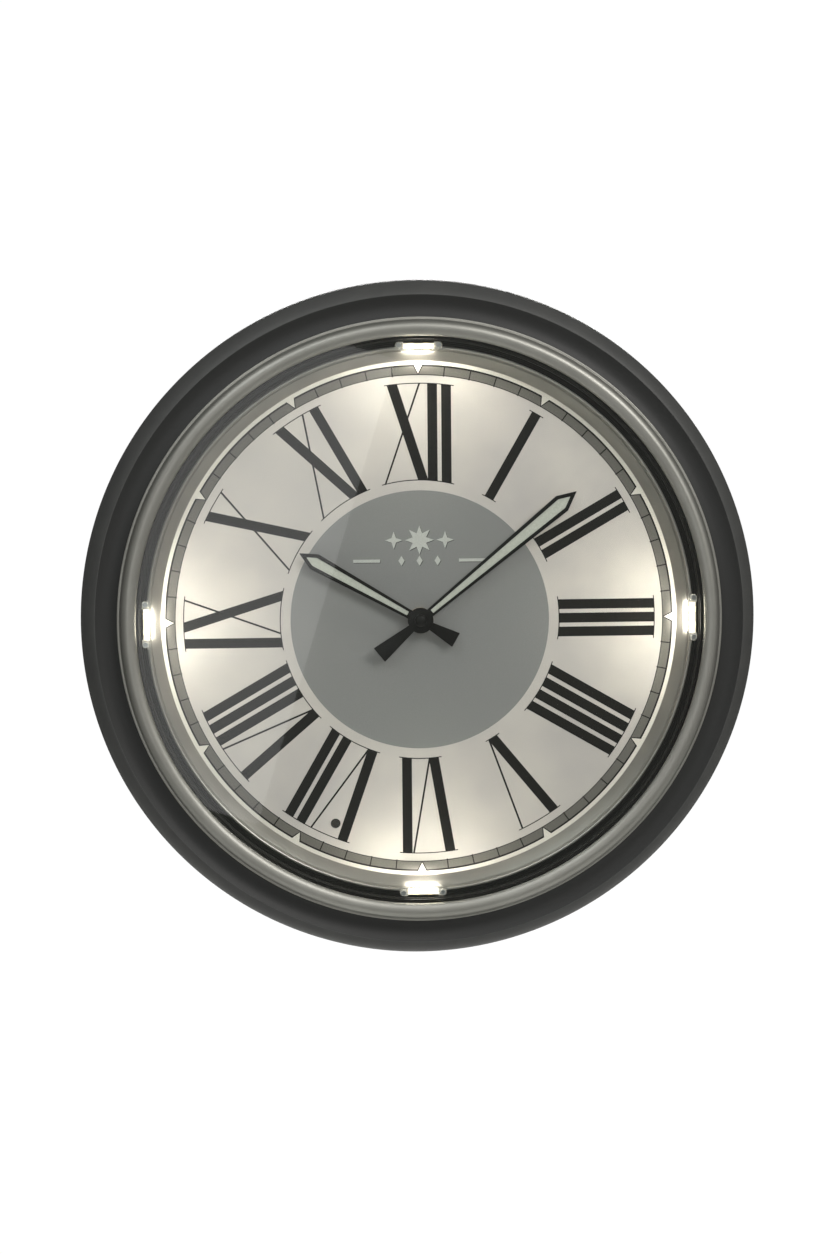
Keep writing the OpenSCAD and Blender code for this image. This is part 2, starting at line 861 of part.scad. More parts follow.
module coil_bobbin() {
    barrel_r = 1.6;
    color("#d8d2c0") difference() {
        union() {
            coil_turned(-6) cylinder(r = barrel_r, h = 16);
            for (x = [-6, 9]) coil_turned(x) cylinder(r = 3.4, h = 1);
        }
        at([2, coil_z]) slab(coil_h - 0.4, coil_h + 0.4) box(31, 1.6);
    }
}

module coil_winding() {
    color("#b06a35") coil_turned(-5) difference() {
        cylinder(r = 3, h = 14);
        translate([0, 0, -1]) cylinder(r = 1.6, h = 16);
    }
}

module stator() {
    top = coil_z + 1;
    color("#8b8f92") slab(stator_h, stator_h + 1) difference() {
        union() {
            translate([-12.5, 13.4]) square([29, 5.2]);
            translate([-12.5, 13.4]) square([4, top - 13.4]);
            translate([12.5, 13.4]) square([4, top - 13.4]);
        }
        translate(rotor_at) circle(magnet_r + 0.3);
    }
}

// ---- Going train, from the rotor to the centre wheel ----

// Arbor with a fine pivot at each end, from the cover to the case's boss
module arbor(p, front) {
    at(p) {
        rod(arbor_r, move_back + 0.2, front - 0.2);
        rod(pivot_r, move_back - 0.7, front + 0.6);
    }
}

module rotor_magnet() {
    color("#3c3c40") at(rotor_at) tube(magnet_r, arbor_r, stator_h - 0.6, stator_h + 1.6);
}

module rotor_pinion() {
    color("#e6e2d4") {
        arbor(rotor_at, boss_h);
        at(rotor_at) slab(step_wheel_h - 0.4, step_wheel_h + wheel_t + 0.4)
            gap_outline(step_pinion_n, rotor_dist, step_wheel_n, rotor_dir + 180);
    }
}

module step_wheel() {
    color("#e6e2d4") {
        arbor(step_at, boss_h);
        at(step_at) {
            slab(step_wheel_h, step_wheel_h + wheel_t)
                teeth_outline(step_wheel_n, rotor_dist, step_pinion_n, rotor_dir);
            slab(step_wheel_h + wheel_t, second_wheel_h + wheel_t + 0.4)
                gap_outline(step_pinion_n, second_dist, second_wheel_n, step_dir + 180);
        }
    }
}

module seconds_wheel() {
    color("#e6e2d4") {
        slab(second_wheel_h, second_wheel_h + wheel_t)
            teeth_outline(second_wheel_n, second_dist, step_pinion_n, step_dir);
        slab(second_wheel_h + wheel_t, third_wheel_h + wheel_t + 0.4)
            gap_outline(train_pinion_n, train_dist, third_wheel_n, third_dir);
        rod(arbor_r, move_back + 0.2, centre_wheel_h - 0.4);
        rod(pivot_r, move_back - 0.7, centre_wheel_h + 2);
    }
}

module third_wheel() {
    color("#e6e2d4") {
        arbor(third_at, boss_h);
        at(third_at) {
            slab(third_wheel_h, third_wheel_h + wheel_t)
                teeth_outline(third_wheel_n, train_dist, train_pinion_n, third_dir + 180);
            slab(third_wheel_h + wheel_t, centre_wheel_h + wheel_t + 0.4)
                gap_outline(train_pinion_n, train_dist, centre_wheel_n, third_dir + 180);
        }
    }
}

// Rides on the minute pipe with a friction clutch
module centre_wheel() {
    color("#e6e2d4") difference() {
        union() {
            slab(centre_wheel_h, centre_wheel_h + wheel_t)
                teeth_outline(centre_wheel_n, train_dist, train_pinion_n, third_dir);
            rod(2.2, centre_wheel_h, centre_wheel_h + 1.6);
        }
        rod(minute_pipe_r + run_gap, centre_wheel_h - 1, centre_wheel_h + 3);
    }
}

// ---- Motion work and hands ----

module minute_pipe() {
    color("#c8a85a") difference() {
        union() {
            rod(minute_pipe_r, centre_wheel_h, minute_top);
            rod(1.1, minute_top - 0.5, minute_top + 1.6);
            slab(minute_wheel_h - 0.2, minute_wheel_h + wheel_t + 0.4)
                gap_outline(minute_pinion_n, motion_dist, minute_wheel_n, motion_dir);
        }
        rod(pivot_r + run_gap, centre_wheel_h - 1, centre_wheel_h + 2.4);
    }
}

module minute_wheel() {
    color("#e6e2d4") at(motion_at) {
        slab(minute_wheel_h, minute_wheel_h + wheel_t)
            teeth_outline(minute_wheel_n, motion_dist, minute_pinion_n, motion_dir + 180);
        slab(minute_wheel_h + wheel_t, hour_wheel_h + wheel_t + 0.2)
            gap_outline(hour_pinion_n, motion_dist, hour_wheel_n, motion_dir + 180);
        rod(knob_arbor_r, move_back - move_cover_t - 2, minute_wheel_h + 0.4);
        rod(pivot_r, hour_wheel_h, move_wall_h + 0.7);
    }
}

module setting_knob() {
    back = move_back - move_cover_t;
    grip_h = 3.6;
    color("#1f2022") at(motion_at) difference() {
        union() {
            slab(back - 0.6 - grip_h, back - 0.6) for (a = [0:15:75]) rotate(a) circle(knob_r, $fn = 4);
            rod(knob_r * 0.82, back - 0.6 - grip_h, back - 0.6);
            rod(2, back - 0.7, back - 0.2);
        }
        rod(knob_arbor_r, back - 2, back);
    }
}

module hour_wheel() {
    color("#e6e2d4") difference() {
        union() {
            slab(hour_wheel_h, hour_wheel_h + wheel_t)
                teeth_outline(hour_wheel_n, motion_dist, hour_pinion_n, motion_dir);
            rod(hour_pipe_r, hour_wheel_h, hour_hand_h + hand_t);
        }
        rod(minute_pipe_r + run_gap, hour_wheel_h - 1, hour_hand_h + 2);
    }
}

// Half-width of a hand's blade along its length, from the hub to the shoulder
function blade_w(w, s, y) = 2.3 + (w / 2 - 2.3) * y / s;

// Length of the point beyond the shoulder
function point_l(w) = w * 1.01;

// A hand pointing at twelve: tapered blade and flared tail
module hand_outline(length, w, tail) {
    s = length - point_l(w);
    polygon([
        [-2.3, 4], [-w / 2, s], [0, length], [w / 2, s], [2.3, 4],
        [1.8, -4], [w * 0.47, -tail], [-w * 0.47, -tail], [-1.8, -4]
    ]);
}

// The luminous strip inside the blade's border
module lume_outline(length, w) {
    s = length - point_l(w);
    start = hub_d / 2 + 0.9;
    inner_s = s - hand_border * 0.1;
    root = blade_w(w, s, start) - hand_border;
    wide = blade_w(w, s, inner_s) - hand_border;
    polygon([[-root, start], [-wide, inner_s], [0, length - hand_border * 2.2], [wide, inner_s], [root, start]]);
}

module hand(length, w, tail, h, bore_r) {
    difference() {
        union() {
            slab(h, h + hand_t) difference() {
                hand_outline(length, w, tail);
                lume_outline(length, w);
            }
            rod(hub_d / 2, h - hub_rise, h + hand_t);
        }
        rod(bore_r, h - 1, h + hand_t + 1);
    }
}

module hour_hand() {
    color("#1b1c19") clockwise(hour_angle) hand(hour_len, hour_w, hour_tail, hour_hand_h, hour_pipe_r);
}

module hour_lume() {
    color("#cfd3c0") clockwise(hour_angle)
        slab(hour_hand_h, hour_hand_h + hand_t * 0.7) lume_outline(hour_len, hour_w);
}

module minute_hand() {
    color("#1b1c19") clockwise(minute_angle)
        hand(minute_len, minute_w, minute_tail, minute_hand_h, minute_pipe_r);
}

module minute_lume() {
    color("#cfd3c0") clockwise(minute_angle)
        slab(minute_hand_h, minute_hand_h + hand_t * 0.7) lume_outline(minute_len, minute_w);
}

module hand_nut() {
    nut_r = 3.3;
    nut_h = 2.3;
    color("#1b1c19") difference() {
        turned() polygon(concat(
            [[0, minute_top], [nut_r, minute_top], [nut_r, minute_top + 1]],
            [for (a = [15:15:90]) [nut_r * cos(a), minute_top + 1 + (nut_h - 1) * sin(a)]]
        ));
        rod(1.1, minute_top - 1, minute_top + 1.6);
    }
}

case_ring();
bezel_ring();
lens_gasket();
front_glass();
reflector_ring();
dial_plate();
back_cover();
hanger_plate();
hanger_screws();
case_screws();
bezel_screws();
led_covers();
led_boards();
leds();
led_screws();
led_wires();
sensor_holder();
light_sensor();
sensor_wires();
control_board();
board_screws();
switch_body();
switch_slider();
battery_wires();
battery_box();
battery_door();
battery_contacts();
lamp_cells();
box_screws();
movement_case();
movement_cover();
movement_screws();
movement_contacts();
movement_cell();
centre_bush();
cushion_washer();
dial_washer();
dial_nut();
quartz_board();
quartz_crystal();
coil_core();
coil_bobbin();
coil_winding();
stator();
rotor_magnet();
rotor_pinion();
step_wheel();
seconds_wheel();
third_wheel();
centre_wheel();
minute_pipe();
minute_wheel();
setting_knob();
hour_wheel();
hour_hand();
hour_lume();
minute_hand();
minute_lume();
hand_nut();
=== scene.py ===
# Lit wall clock: ring case, satin bezel, Roman dial with four rim lamps, hands, and the rear fittings
from math import cos, hypot, pi, radians, sin, sqrt, tan

import bmesh
import bpy
from mathutils import Matrix, Vector


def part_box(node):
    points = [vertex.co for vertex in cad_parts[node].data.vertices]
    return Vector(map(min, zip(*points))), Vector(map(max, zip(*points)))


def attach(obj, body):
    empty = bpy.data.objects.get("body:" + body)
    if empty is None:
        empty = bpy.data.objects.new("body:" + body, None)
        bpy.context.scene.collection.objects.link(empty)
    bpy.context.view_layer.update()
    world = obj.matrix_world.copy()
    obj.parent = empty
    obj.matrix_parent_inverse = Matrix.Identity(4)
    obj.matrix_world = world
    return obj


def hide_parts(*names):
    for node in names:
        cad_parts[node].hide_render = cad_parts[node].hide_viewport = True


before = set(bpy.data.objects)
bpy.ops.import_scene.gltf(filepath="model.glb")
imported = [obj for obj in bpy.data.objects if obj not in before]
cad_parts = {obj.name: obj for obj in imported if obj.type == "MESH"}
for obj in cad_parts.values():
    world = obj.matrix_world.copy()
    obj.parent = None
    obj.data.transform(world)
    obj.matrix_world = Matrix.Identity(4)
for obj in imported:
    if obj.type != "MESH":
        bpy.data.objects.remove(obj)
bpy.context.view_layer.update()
mm = 0.001


# Measures the frame gives, in mm: depth runs forward from the wall, so depth d is at y = -d
def reach(node):
    low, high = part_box(node)
    return {"radius": high.x / mm, "back": -high.y / mm, "front": -low.y / mm}


caseAt = reach("case_ring")
bezelAt = reach("bezel_ring")
gasketAt = reach("lens_gasket")
glassAt = reach("front_glass")
reflectorAt = reach("reflector_ring")
dialAt = reach("dial_plate")
nutAt = reach("hand_nut")


def farthest(node):  # the point of a node that lies farthest from the hands' axis, in mm
    points = [v.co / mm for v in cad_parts[node].data.vertices]
    return max(points, key=lambda p: hypot(p.x, p.z))


# ---- shape helpers ----

def clockwise(x, z, degrees):  # turn a point of the dial clockwise, seen from the front
    a = radians(degrees)
    return x * cos(a) + z * sin(a), z * cos(a) - x * sin(a)


def softened(points, closed=True, steps=4):  # a third number at a point rounds that corner
    out = []
    for i, point in enumerate(points):
        here = Vector(point[:2])
        if len(point) < 3:
            out.append(here)
            continue
        before = Vector(points[i - 1][:2]) - here
        after = Vector(points[(i + 1) % len(points)][:2]) - here
        cut = min(point[2] / tan(before.angle(after) / 2), before.length * 0.48, after.length * 0.48)
        start = here + before.normalized() * cut
        end = here + after.normalized() * cut
        for k in range(steps + 1):
            t = k / steps
            out.append(start * (1 - t) ** 2 + here * 2 * t * (1 - t) + end * t * t)
    return out


def circle(radius, steps, x=0, z=0):
    return [(x + radius * sin(2 * pi * i / steps), z + radius * cos(2 * pi * i / steps)) for i in range(steps)]


def arcBand(inner, outer, start, end, steps):  # part of a flat ring, angles clockwise from twelve
    angles = [start + (end - start) * i / steps for i in range(steps + 1)]
    return [clockwise(0, outer, a) for a in angles] + [clockwise(0, inner, a) for a in reversed(angles)]


def spinProfile(bm, profile, steps=256, closed=True):  # turn a (radius, depth) profile about the hands' axis
    verts = [bm.verts.new((r * mm, -d * mm, 0)) for r, d in profile]
    edges = [bm.edges.new(pair) for pair in zip(verts, verts[1:])]
    if closed:
        edges.append(bm.edges.new((verts[-1], verts[0])))
    bmesh.ops.spin(bm, geom=verts + edges, cent=(0, 0, 0), axis=(0, 1, 0), angle=2 * pi,
                   steps=steps, use_merge=True)


def raiseOutline(bm, outline, back, front):  # an (x, z) outline made into a plate between two depths
    face = bm.faces.new([bm.verts.new((x * mm, -back * mm, z * mm)) for x, z in outline])
    made = bmesh.ops.extrude_face_region(bm, geom=[face])["geom"]
    moved = [v for v in made if isinstance(v, bmesh.types.BMVert)]
    bmesh.ops.translate(bm, verts=moved, vec=(0, (back - front) * mm, 0))
    return moved


def bevelFront(bm, front, width, segments=2):  # round the sharp edges that lie on the front plane
    edge = [e for e in bm.edges if all(abs(v.co.y + front * mm) < 1e-6 for v in e.verts)
            and len(e.link_faces) == 2 and e.calc_face_angle(0) > radians(50)]
    bmesh.ops.bevel(bm, geom=edge, offset=width * mm, offset_type="OFFSET", segments=segments,
                    profile=0.5, affect="EDGES", material=-1, clamp_overlap=True)


def meshObject(name, bm):
    bmesh.ops.remove_doubles(bm, verts=bm.verts, dist=1e-7)
    bmesh.ops.recalc_face_normals(bm, faces=bm.faces)
    mesh = bpy.data.meshes.new(name)
    bm.to_mesh(mesh)
    bm.free()
    obj = bpy.data.objects.new(name, mesh)
    bpy.context.scene.collection.objects.link(obj)
    return obj


def carve(obj, cutter, operation="DIFFERENCE", selfCross=False):  # a Boolean, applied to the mesh
    step = obj.modifiers.new("carve", "BOOLEAN")
    step.operation = operation
    step.solver = "EXACT"
    step.use_self = selfCross
    step.object = cutter
    graph = bpy.context.evaluated_depsgraph_get()
    made = bpy.data.meshes.new_from_object(obj.evaluated_get(graph))
    obj.modifiers.clear()
    obj.data = made
    bpy.data.objects.remove(cutter)


def finishPiece(obj, material, body="root", replaces=(), crease=38):
    bm = bmesh.new()
    bm.from_mesh(obj.data)
    for face in bm.faces:
        face.smooth = True
    for edge in bm.edges:
        edge.smooth = len(edge.link_faces) == 2 and edge.calc_face_angle(0) < radians(crease)
    bm.to_mesh(obj.data)
    bm.free()
    obj.data.materials.clear()
    obj.data.materials.append(material)
    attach(obj, body)
    if replaces:
        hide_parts(*replaces)
    return obj


# ---- material helpers ----

def linear(hexColour):  # sRGB hex to the linear colour that sockets take
    def channel(v):
        return v / 12.92 if v <= 0.04045 else ((v + 0.055) / 1.055) ** 2.4
    return tuple(channel(int(hexColour[i:i + 2], 16) / 255) for i in (1, 3, 5)) + (1.0,)


def addNode(tree, kind, settings=None, inputs=None):
    node = tree.nodes.new(kind)
    for name, value in (settings or {}).items():
        setattr(node, name, value)
    for key, value in (inputs or {}).items():
        if isinstance(value, bpy.types.NodeSocket):
            tree.links.new(value, node.inputs[key])
        else:
            node.inputs[key].default_value = value
    return node


def newMaterial(name, values):
    material = bpy.data.materials.new(name)
    material.use_nodes = True
    tree = material.node_tree
    shader = tree.nodes["Principled BSDF"]
    for key, value in values.items():
        shader.inputs[key].default_value = value
    return material, tree, shader


def objectNoise(tree, size, detail=2.0, stretch=(1, 1, 1)):  # noise with grains of a size in mm
    coords = addNode(tree, "ShaderNodeTexCoord")
    mapping = addNode(tree, "ShaderNodeMapping", {}, {"Vector": coords.outputs["Object"], "Scale": stretch})
    return addNode(tree, "ShaderNodeTexNoise", {}, {
        "Vector": mapping.outputs["Vector"], "Scale": 1 / (size * mm), "Detail": detail, "Roughness": 0.6})


def axisDistance(tree):  # how far a point of the piece lies from the hands' axis
    coords = addNode(tree, "ShaderNodeTexCoord")
    flat = addNode(tree, "ShaderNodeVectorMath", {"operation": "MULTIPLY"},
                   {0: coords.outputs["Object"], 1: (1, 0, 1)})
    return addNode(tree, "ShaderNodeVectorMath", {"operation": "LENGTH"}, {0: flat.outputs["Vector"]})


def ringNoise(tree, radius, size, detail):  # noise that changes only with that distance
    return addNode(tree, "ShaderNodeTexNoise", {"noise_dimensions": "1D"}, {
        "W": radius.outputs["Value"], "Scale": 1 / (size * mm), "Detail": detail, "Roughness": 0.6})


def tintBy(tree, shader, noise, dark, light, low=0.3, high=0.7):  # colour drifts between two shades
    ramp = addNode(tree, "ShaderNodeValToRGB", {}, {"Fac": noise.outputs["Fac"]})
    ramp.color_ramp.elements[0].position = low
    ramp.color_ramp.elements[1].position = high
    ramp.color_ramp.elements[0].color = linear(dark)
    ramp.color_ramp.elements[1].color = linear(light)
    tree.links.new(ramp.outputs["Color"], shader.inputs["Base Color"])


def roughBy(tree, shader, noise, low, high):
    spread = addNode(tree, "ShaderNodeMapRange", {}, {
        "Value": noise.outputs["Fac"], "From Min": 0.3, "From Max": 0.7, "To Min": low, "To Max": high})
    tree.links.new(spread.outputs["Result"], shader.inputs["Roughness"])


def bumpBy(tree, shader, noise, depth, strength=1.0):  # depth in mm
    bump = addNode(tree, "ShaderNodeBump", {}, {
        "Height": noise.outputs["Fac"], "Distance": depth * mm, "Strength": strength})
    tree.links.new(bump.outputs["Normal"], shader.inputs["Normal"])


# ---- materials ----

# Moulded pieces. The ABS has a spark-eroded mould finish, matt with a fine even grain; the
# acetal, resin, rubber, flex and magnet are smoother or drier by their roughness.
# Real grain is about 0.1 mm; it is drawn at 0.3 mm or more so that it shows.
mouldedShades = {
    # the case's cove colour is painted shade, darker where the cove dishes in behind the ridge
    "caseAbs": {"dark": "#454645", "light": "#4c4d4b", "rough": (0.5, 0.6), "grain": 0.5, "depth": 0.006,
                "cove": "#2b2c2b", "coveInset": 8.2},
    "rearAbs": {"dark": "#232425", "light": "#2b2c2d", "rough": (0.46, 0.6), "grain": 0.6, "depth": 0.03},
    "movementAbs": {"dark": "#18191a", "light": "#202122", "rough": (0.4, 0.52), "grain": 0.5, "depth": 0.02},
    "wheelAcetal": {"dark": "#dcd7c6", "light": "#ebe7da", "rough": (0.3, 0.4), "grain": 0.5, "depth": 0.004},
    "lampBoardResin": {"dark": "#dedbd0", "light": "#eeece4", "rough": (0.4, 0.5), "grain": 0.5, "depth": 0.004},
    "gasketRubber": {"dark": "#15140f", "light": "#1d1c16", "rough": (0.36, 0.5), "grain": 0.4, "depth": 0.006},
    "flexPvc": {"dark": "#1d1d1c", "light": "#262625", "rough": (0.36, 0.46), "grain": 0.8, "depth": 0.01},
    "sensorWindow": {"dark": "#343432", "light": "#42403c", "rough": (0.2, 0.3), "grain": 0.8, "depth": 0.004},
    "ferriteMagnet": {"dark": "#2c2c2f", "light": "#3a3a3e", "rough": (0.42, 0.56), "grain": 0.3, "depth": 0.006},
}


def ringMask(tree, shader, radius, edge, colour, inside=True):  # another colour inside or outside a radius
    base = shader.inputs["Base Color"].links[0].from_socket
    blur = 0.1 if inside else -0.1  # mm
    low, high = edge + blur, edge - blur
    step = addNode(tree, "ShaderNodeMapRange", {}, {
        "Value": radius.outputs["Value"], "From Min": low * mm, "From Max": high * mm})
    mixed = addNode(tree, "ShaderNodeMix", {"data_type": "RGBA"}, {
        0: step.outputs["Result"], 6: base, 7: linear(colour)})
    tree.links.new(mixed.outputs[2], shader.inputs["Base Color"])


def mouldedPlastic(name):
    shade = mouldedShades[name]
    material, tree, shader = newMaterial(name, {"Metallic": 0.0, "IOR": 1.5})
    cloud = objectNoise(tree, 18, 3.0)
    grain = objectNoise(tree, shade["grain"], 2.0)
    tintBy(tree, shader, cloud, shade["dark"], shade["light"])
    # painted shade: the dished cove inside the ridge is coloured darker than the flank of the same moulding
    if "cove" in shade:
        ringMask(tree, shader, axisDistance(tree), caseAt["radius"] - shade["coveInset"], shade["cove"])
    roughBy(tree, shader, grain, *shade["rough"])
    bumpBy(tree, shader, grain, shade["depth"])
    return material


# Metals: each is drawn with soft clouding and a faint random grain
metalShades = {
    "zincPlatedSteel": {"dark": "#b0b2b3", "light": "#c0c2c2", "rough": (0.3, 0.4), "grain": 0.7, "depth": 0.004},
    "turnedBrass": {"dark": "#a8843f", "light": "#c7a35a", "rough": (0.24, 0.36), "grain": 0.6, "depth": 0.003},
    "lacqueredCopper": {"dark": "#8e4f26", "light": "#b26c38", "rough": (0.24, 0.36), "grain": 0.4, "depth": 0.01},
    "siliconIron": {"dark": "#70757a", "light": "#8b9094", "rough": (0.34, 0.46), "grain": 0.5, "depth": 0.004},
}


def metal(name):
    shade = metalShades[name]
    material, tree, shader = newMaterial(name, {"Metallic": 1.0})
    cloud = objectNoise(tree, 6, 3.0)
    grain = objectNoise(tree, shade["grain"], 2.0)
    tintBy(tree, shader, cloud, shade["dark"], shade["light"])
    roughBy(tree, shader, grain, *shade["rough"])
    bumpBy(tree, shader, grain, shade["depth"])
    return material


def satinBezel():  # aluminium-pigment lacquer over a moulded ring: soft highlight, no mirror, faint sparkle
    material, tree, shader = newMaterial("satinSilverLacquer", {"Metallic": 0.9})
    flake = objectNoise(tree, 0.35, 1.0)
    cloud = objectNoise(tree, 30, 3.0)
    tintBy(tree, shader, cloud, "#a3a39c", "#acaca5")
    roughBy(tree, shader, flake, 0.44, 0.54)
    bumpBy(tree, shader, flake, 0.004)
    return material


def aluminisedReflector():  # vacuum-metallised plastic: satin, with fine circular tool lines
    material, tree, shader = newMaterial("aluminisedPlastic", {"Metallic": 0.9})
    radius = axisDistance(tree)
    lines = ringNoise(tree, radius, 0.5, 3.0)
    tintBy(tree, shader, objectNoise(tree, 25, 3.0), "#aeaba4", "#bbb8b1")
    paintedShadeEdge = 143.4  # mm from the hands' axis; past the rolled bead the rim is painted dark, a painted shade where the bezel's overhang shades the ledge
    ringMask(tree, shader, radius, paintedShadeEdge, "#30312d", inside=False)
    roughBy(tree, shader, lines, 0.3, 0.44)
    bumpBy(tree, shader, lines, 0.006)
    return material


def dialFoil():  # silver-printed dial card: warm, satin, with a very fine fibre grain
    material, tree, shader = newMaterial("silverDialCard", {"Metallic": 0.35})
    fibre = objectNoise(tree, 0.6, 3.0)
    tintBy(tree, shader, objectNoise(tree, 45, 3.0), "#d3cdc9", "#e6dfd7")
    roughBy(tree, shader, fibre, 0.42, 0.52)
    bumpBy(tree, shader, fibre, 0.004)
    return material


# Screen-printed inks: each lies as a thin film that is a little glossier than the card
inkShades = {
    "blackInk": {"dark": "#141310", "light": "#1a1916", "rough": (0.3, 0.4)},
    "greyInk": {"dark": "#8a8a89", "light": "#919190", "rough": (0.4, 0.5)},
    "trackInk": {"dark": "#6c6964", "light": "#75726c", "rough": (0.4, 0.5)},
    "whiteInk": {"dark": "#e6e1d6", "light": "#efeae0", "rough": (0.4, 0.5)},
    "paleInk": {"dark": "#c3c4bf", "light": "#d0d1cc", "rough": (0.4, 0.5)},
    # painted shadow, not a print: the dark copy set off under the ornament stands in for the shadow of raised
    # lettering
    "paintedShadowInk": {"dark": "#4e4f4c", "light": "#585956", "rough": (0.4, 0.5)},
}


def ink(name):
    shade = inkShades[name]
    material, tree, shader = newMaterial(name, {"Metallic": 0.0, "IOR": 1.35})
    mesh = objectNoise(tree, 0.7, 2.0)  # the screen's weave, drawn coarser than the real 0.15 mm
    tintBy(tree, shader, mesh, shade["dark"], shade["light"])
    roughBy(tree, shader, mesh, *shade["rough"])
    bumpBy(tree, shader, mesh, 0.003)
    return material


def handLacquer():  # black baked lacquer on sheet metal, satin, with a trace of orange peel
    material, tree, shader = newMaterial("blackHandLacquer", {"Metallic": 0.0, "IOR": 1.28})
    peel = objectNoise(tree, 1.1, 2.0)
    tintBy(tree, shader, peel, "#0f0f0d", "#141412")
    roughBy(tree, shader, peel, 0.28, 0.38)
    bumpBy(tree, shader, peel, 0.006)
    return material


def luminousPaint():  # powdery phosphor paint: pale green-grey, dead matt, slightly lumpy
    material, tree, shader = newMaterial("luminousPaint", {"Metallic": 0.0})
    lumps = objectNoise(tree, 0.8, 3.0)
    tintBy(tree, shader, lumps, "#b9bcb0", "#cccec4")
    roughBy(tree, shader, lumps, 0.7, 0.85)
    bumpBy(tree, shader, lumps, 0.02)
    return material


def paneGlass():  # float glass: clear, mirrors little head on and more at a slant; see-through without bending
    material, tree, shader = newMaterial("floatGlass", {"Metallic": 1.0, "Roughness": 0.02,
                                                        "Base Color": linear("#ffffff")})
    facing = addNode(tree, "ShaderNodeLayerWeight", {}, {"Blend": 0.5})
    steep = addNode(tree, "ShaderNodeMath", {"operation": "POWER"}, {0: facing.outputs["Facing"], 1: 5.0})
    mirror = addNode(tree, "ShaderNodeMapRange", {}, {
        "Value": steep.outputs["Value"], "To Min": 0.04, "To Max": 1.0})
    clear = addNode(tree, "ShaderNodeBsdfTransparent", {}, {"Color": linear("#fbfdfc")})
    mixed = addNode(tree, "ShaderNodeMixShader", {}, {
        "Fac": mirror.outputs["Result"], 1: clear.outputs["BSDF"], 2: shader.outputs["BSDF"]})
    tree.links.new(mixed.outputs["Shader"], tree.nodes["Material Output"].inputs["Surface"])
    return material


def lampLens(name, glow):  # clear polycarbonate; the strip glows where the lamps light it from inside
    material, tree, shader = newMaterial(name, {
        "IOR": 1.58, "Transmission Weight": 0.75, "Emission Color": linear("#fffaf0"), "Emission Strength": glow})
    drift = objectNoise(tree, 1.5, 2.0)
    tintBy(tree, shader, drift, "#f1eee4", "#fbf9f2")
    roughBy(tree, shader, drift, 0.12, 0.3)
    bumpBy(tree, shader, drift, 0.02)
    return material


def litPhosphor():  # warm white lamp chips, switched on
    material, tree, shader = newMaterial("warmLampPhosphor", {
        "Emission Color": linear("#ffe6b8"), "Emission Strength": 5.0, "Roughness": 0.5})
    tintBy(tree, shader, objectNoise(tree, 0.4, 1.0), "#f4d98c", "#fbe7ab")
    return material


def boardGreen():  # solder resist over copper tracks: the tracks show as paler bands
    material, tree, shader = newMaterial("solderResist", {"IOR": 1.5, "Coat Weight": 0.3, "Coat Roughness": 0.2})
    coords = addNode(tree, "ShaderNodeTexCoord")
    tracks = addNode(tree, "ShaderNodeTexBrick", {"offset": 0.5}, {
        "Vector": addNode(tree, "ShaderNodeMapping", {}, {
            "Vector": coords.outputs["Object"], "Rotation": (pi / 2, 0, 0)}).outputs["Vector"],
        "Color1": linear("#1f5a36"), "Color2": linear("#235f3a"), "Mortar": linear("#3d8053"),
        "Scale": 1 / (9 * mm), "Mortar Size": 0.05, "Brick Width": 0.8, "Row Height": 0.3})
    tree.links.new(tracks.outputs["Color"], shader.inputs["Base Color"])
    roughBy(tree, shader, objectNoise(tree, 2, 2.0), 0.3, 0.42)
    return material


def cellSleeve():  # printed shrink sleeve on a dry cell: glossy film, slightly uneven
    material, tree, shader = newMaterial("cellSleeveFilm", {"IOR": 1.5, "Coat Weight": 0.5, "Coat Roughness": 0.15})
    tintBy(tree, shader, objectNoise(tree, 9, 2.0), "#a8702c", "#bb8238")
    roughBy(tree, shader, objectNoise(tree, 1.2, 2.0), 0.22, 0.34)
    bumpBy(tree, shader, objectNoise(tree, 2.5, 2.0), 0.01)
    return material


finishes = {name: mouldedPlastic(name) for name in mouldedShades}
finishes.update({name: metal(name) for name in metalShades})
finishes.update({name: ink(name) for name in inkShades})
finishes.update({
    "bezel": satinBezel(), "reflector": aluminisedReflector(), "dial": dialFoil(), "hand": handLacquer(),
    "lume": luminousPaint(), "pane": paneGlass(), "lens": lampLens("litPolycarbonate", 0.36),
    # the ears' faint glow, like the strip's, is painted light from the lamps under the covers
    "ears": lampLens("clearPolycarbonate", 0.09), "phosphor": litPhosphor(),
    "board": boardGreen(), "cell": cellSleeve()})
print("materials ready:", len(finishes))


# ---- camera, stage and lights ----

view = {
    "azimuth": -3.4, "elevation": 5.0, "roll": 0.5, "distance": 1.5, "lens": 81.85,
    "aimX": -1.4, "aimZ": -3.8,  # mm from the hands' axis to the middle of the frame
}


def placeCamera():
    data = bpy.data.cameras.new("camera")
    data.sensor_width = 36
    data.lens = view["lens"]
    camera = bpy.data.objects.new("camera", data)
    bpy.context.scene.collection.objects.link(camera)
    a, e = radians(view["azimuth"]), radians(view["elevation"])
    back = Vector((sin(a) * cos(e), -cos(a) * cos(e), sin(e)))
    aim = Vector((view["aimX"] * mm, -dialAt["front"] * mm, view["aimZ"] * mm))
    turn = (-back).to_track_quat("-Z", "Y").to_matrix().to_4x4()
    camera.matrix_world = (Matrix.Translation(aim + back * view["distance"]) @ turn
                           @ Matrix.Rotation(radians(-view["roll"]), 4, "Z"))
    bpy.context.scene.camera = camera


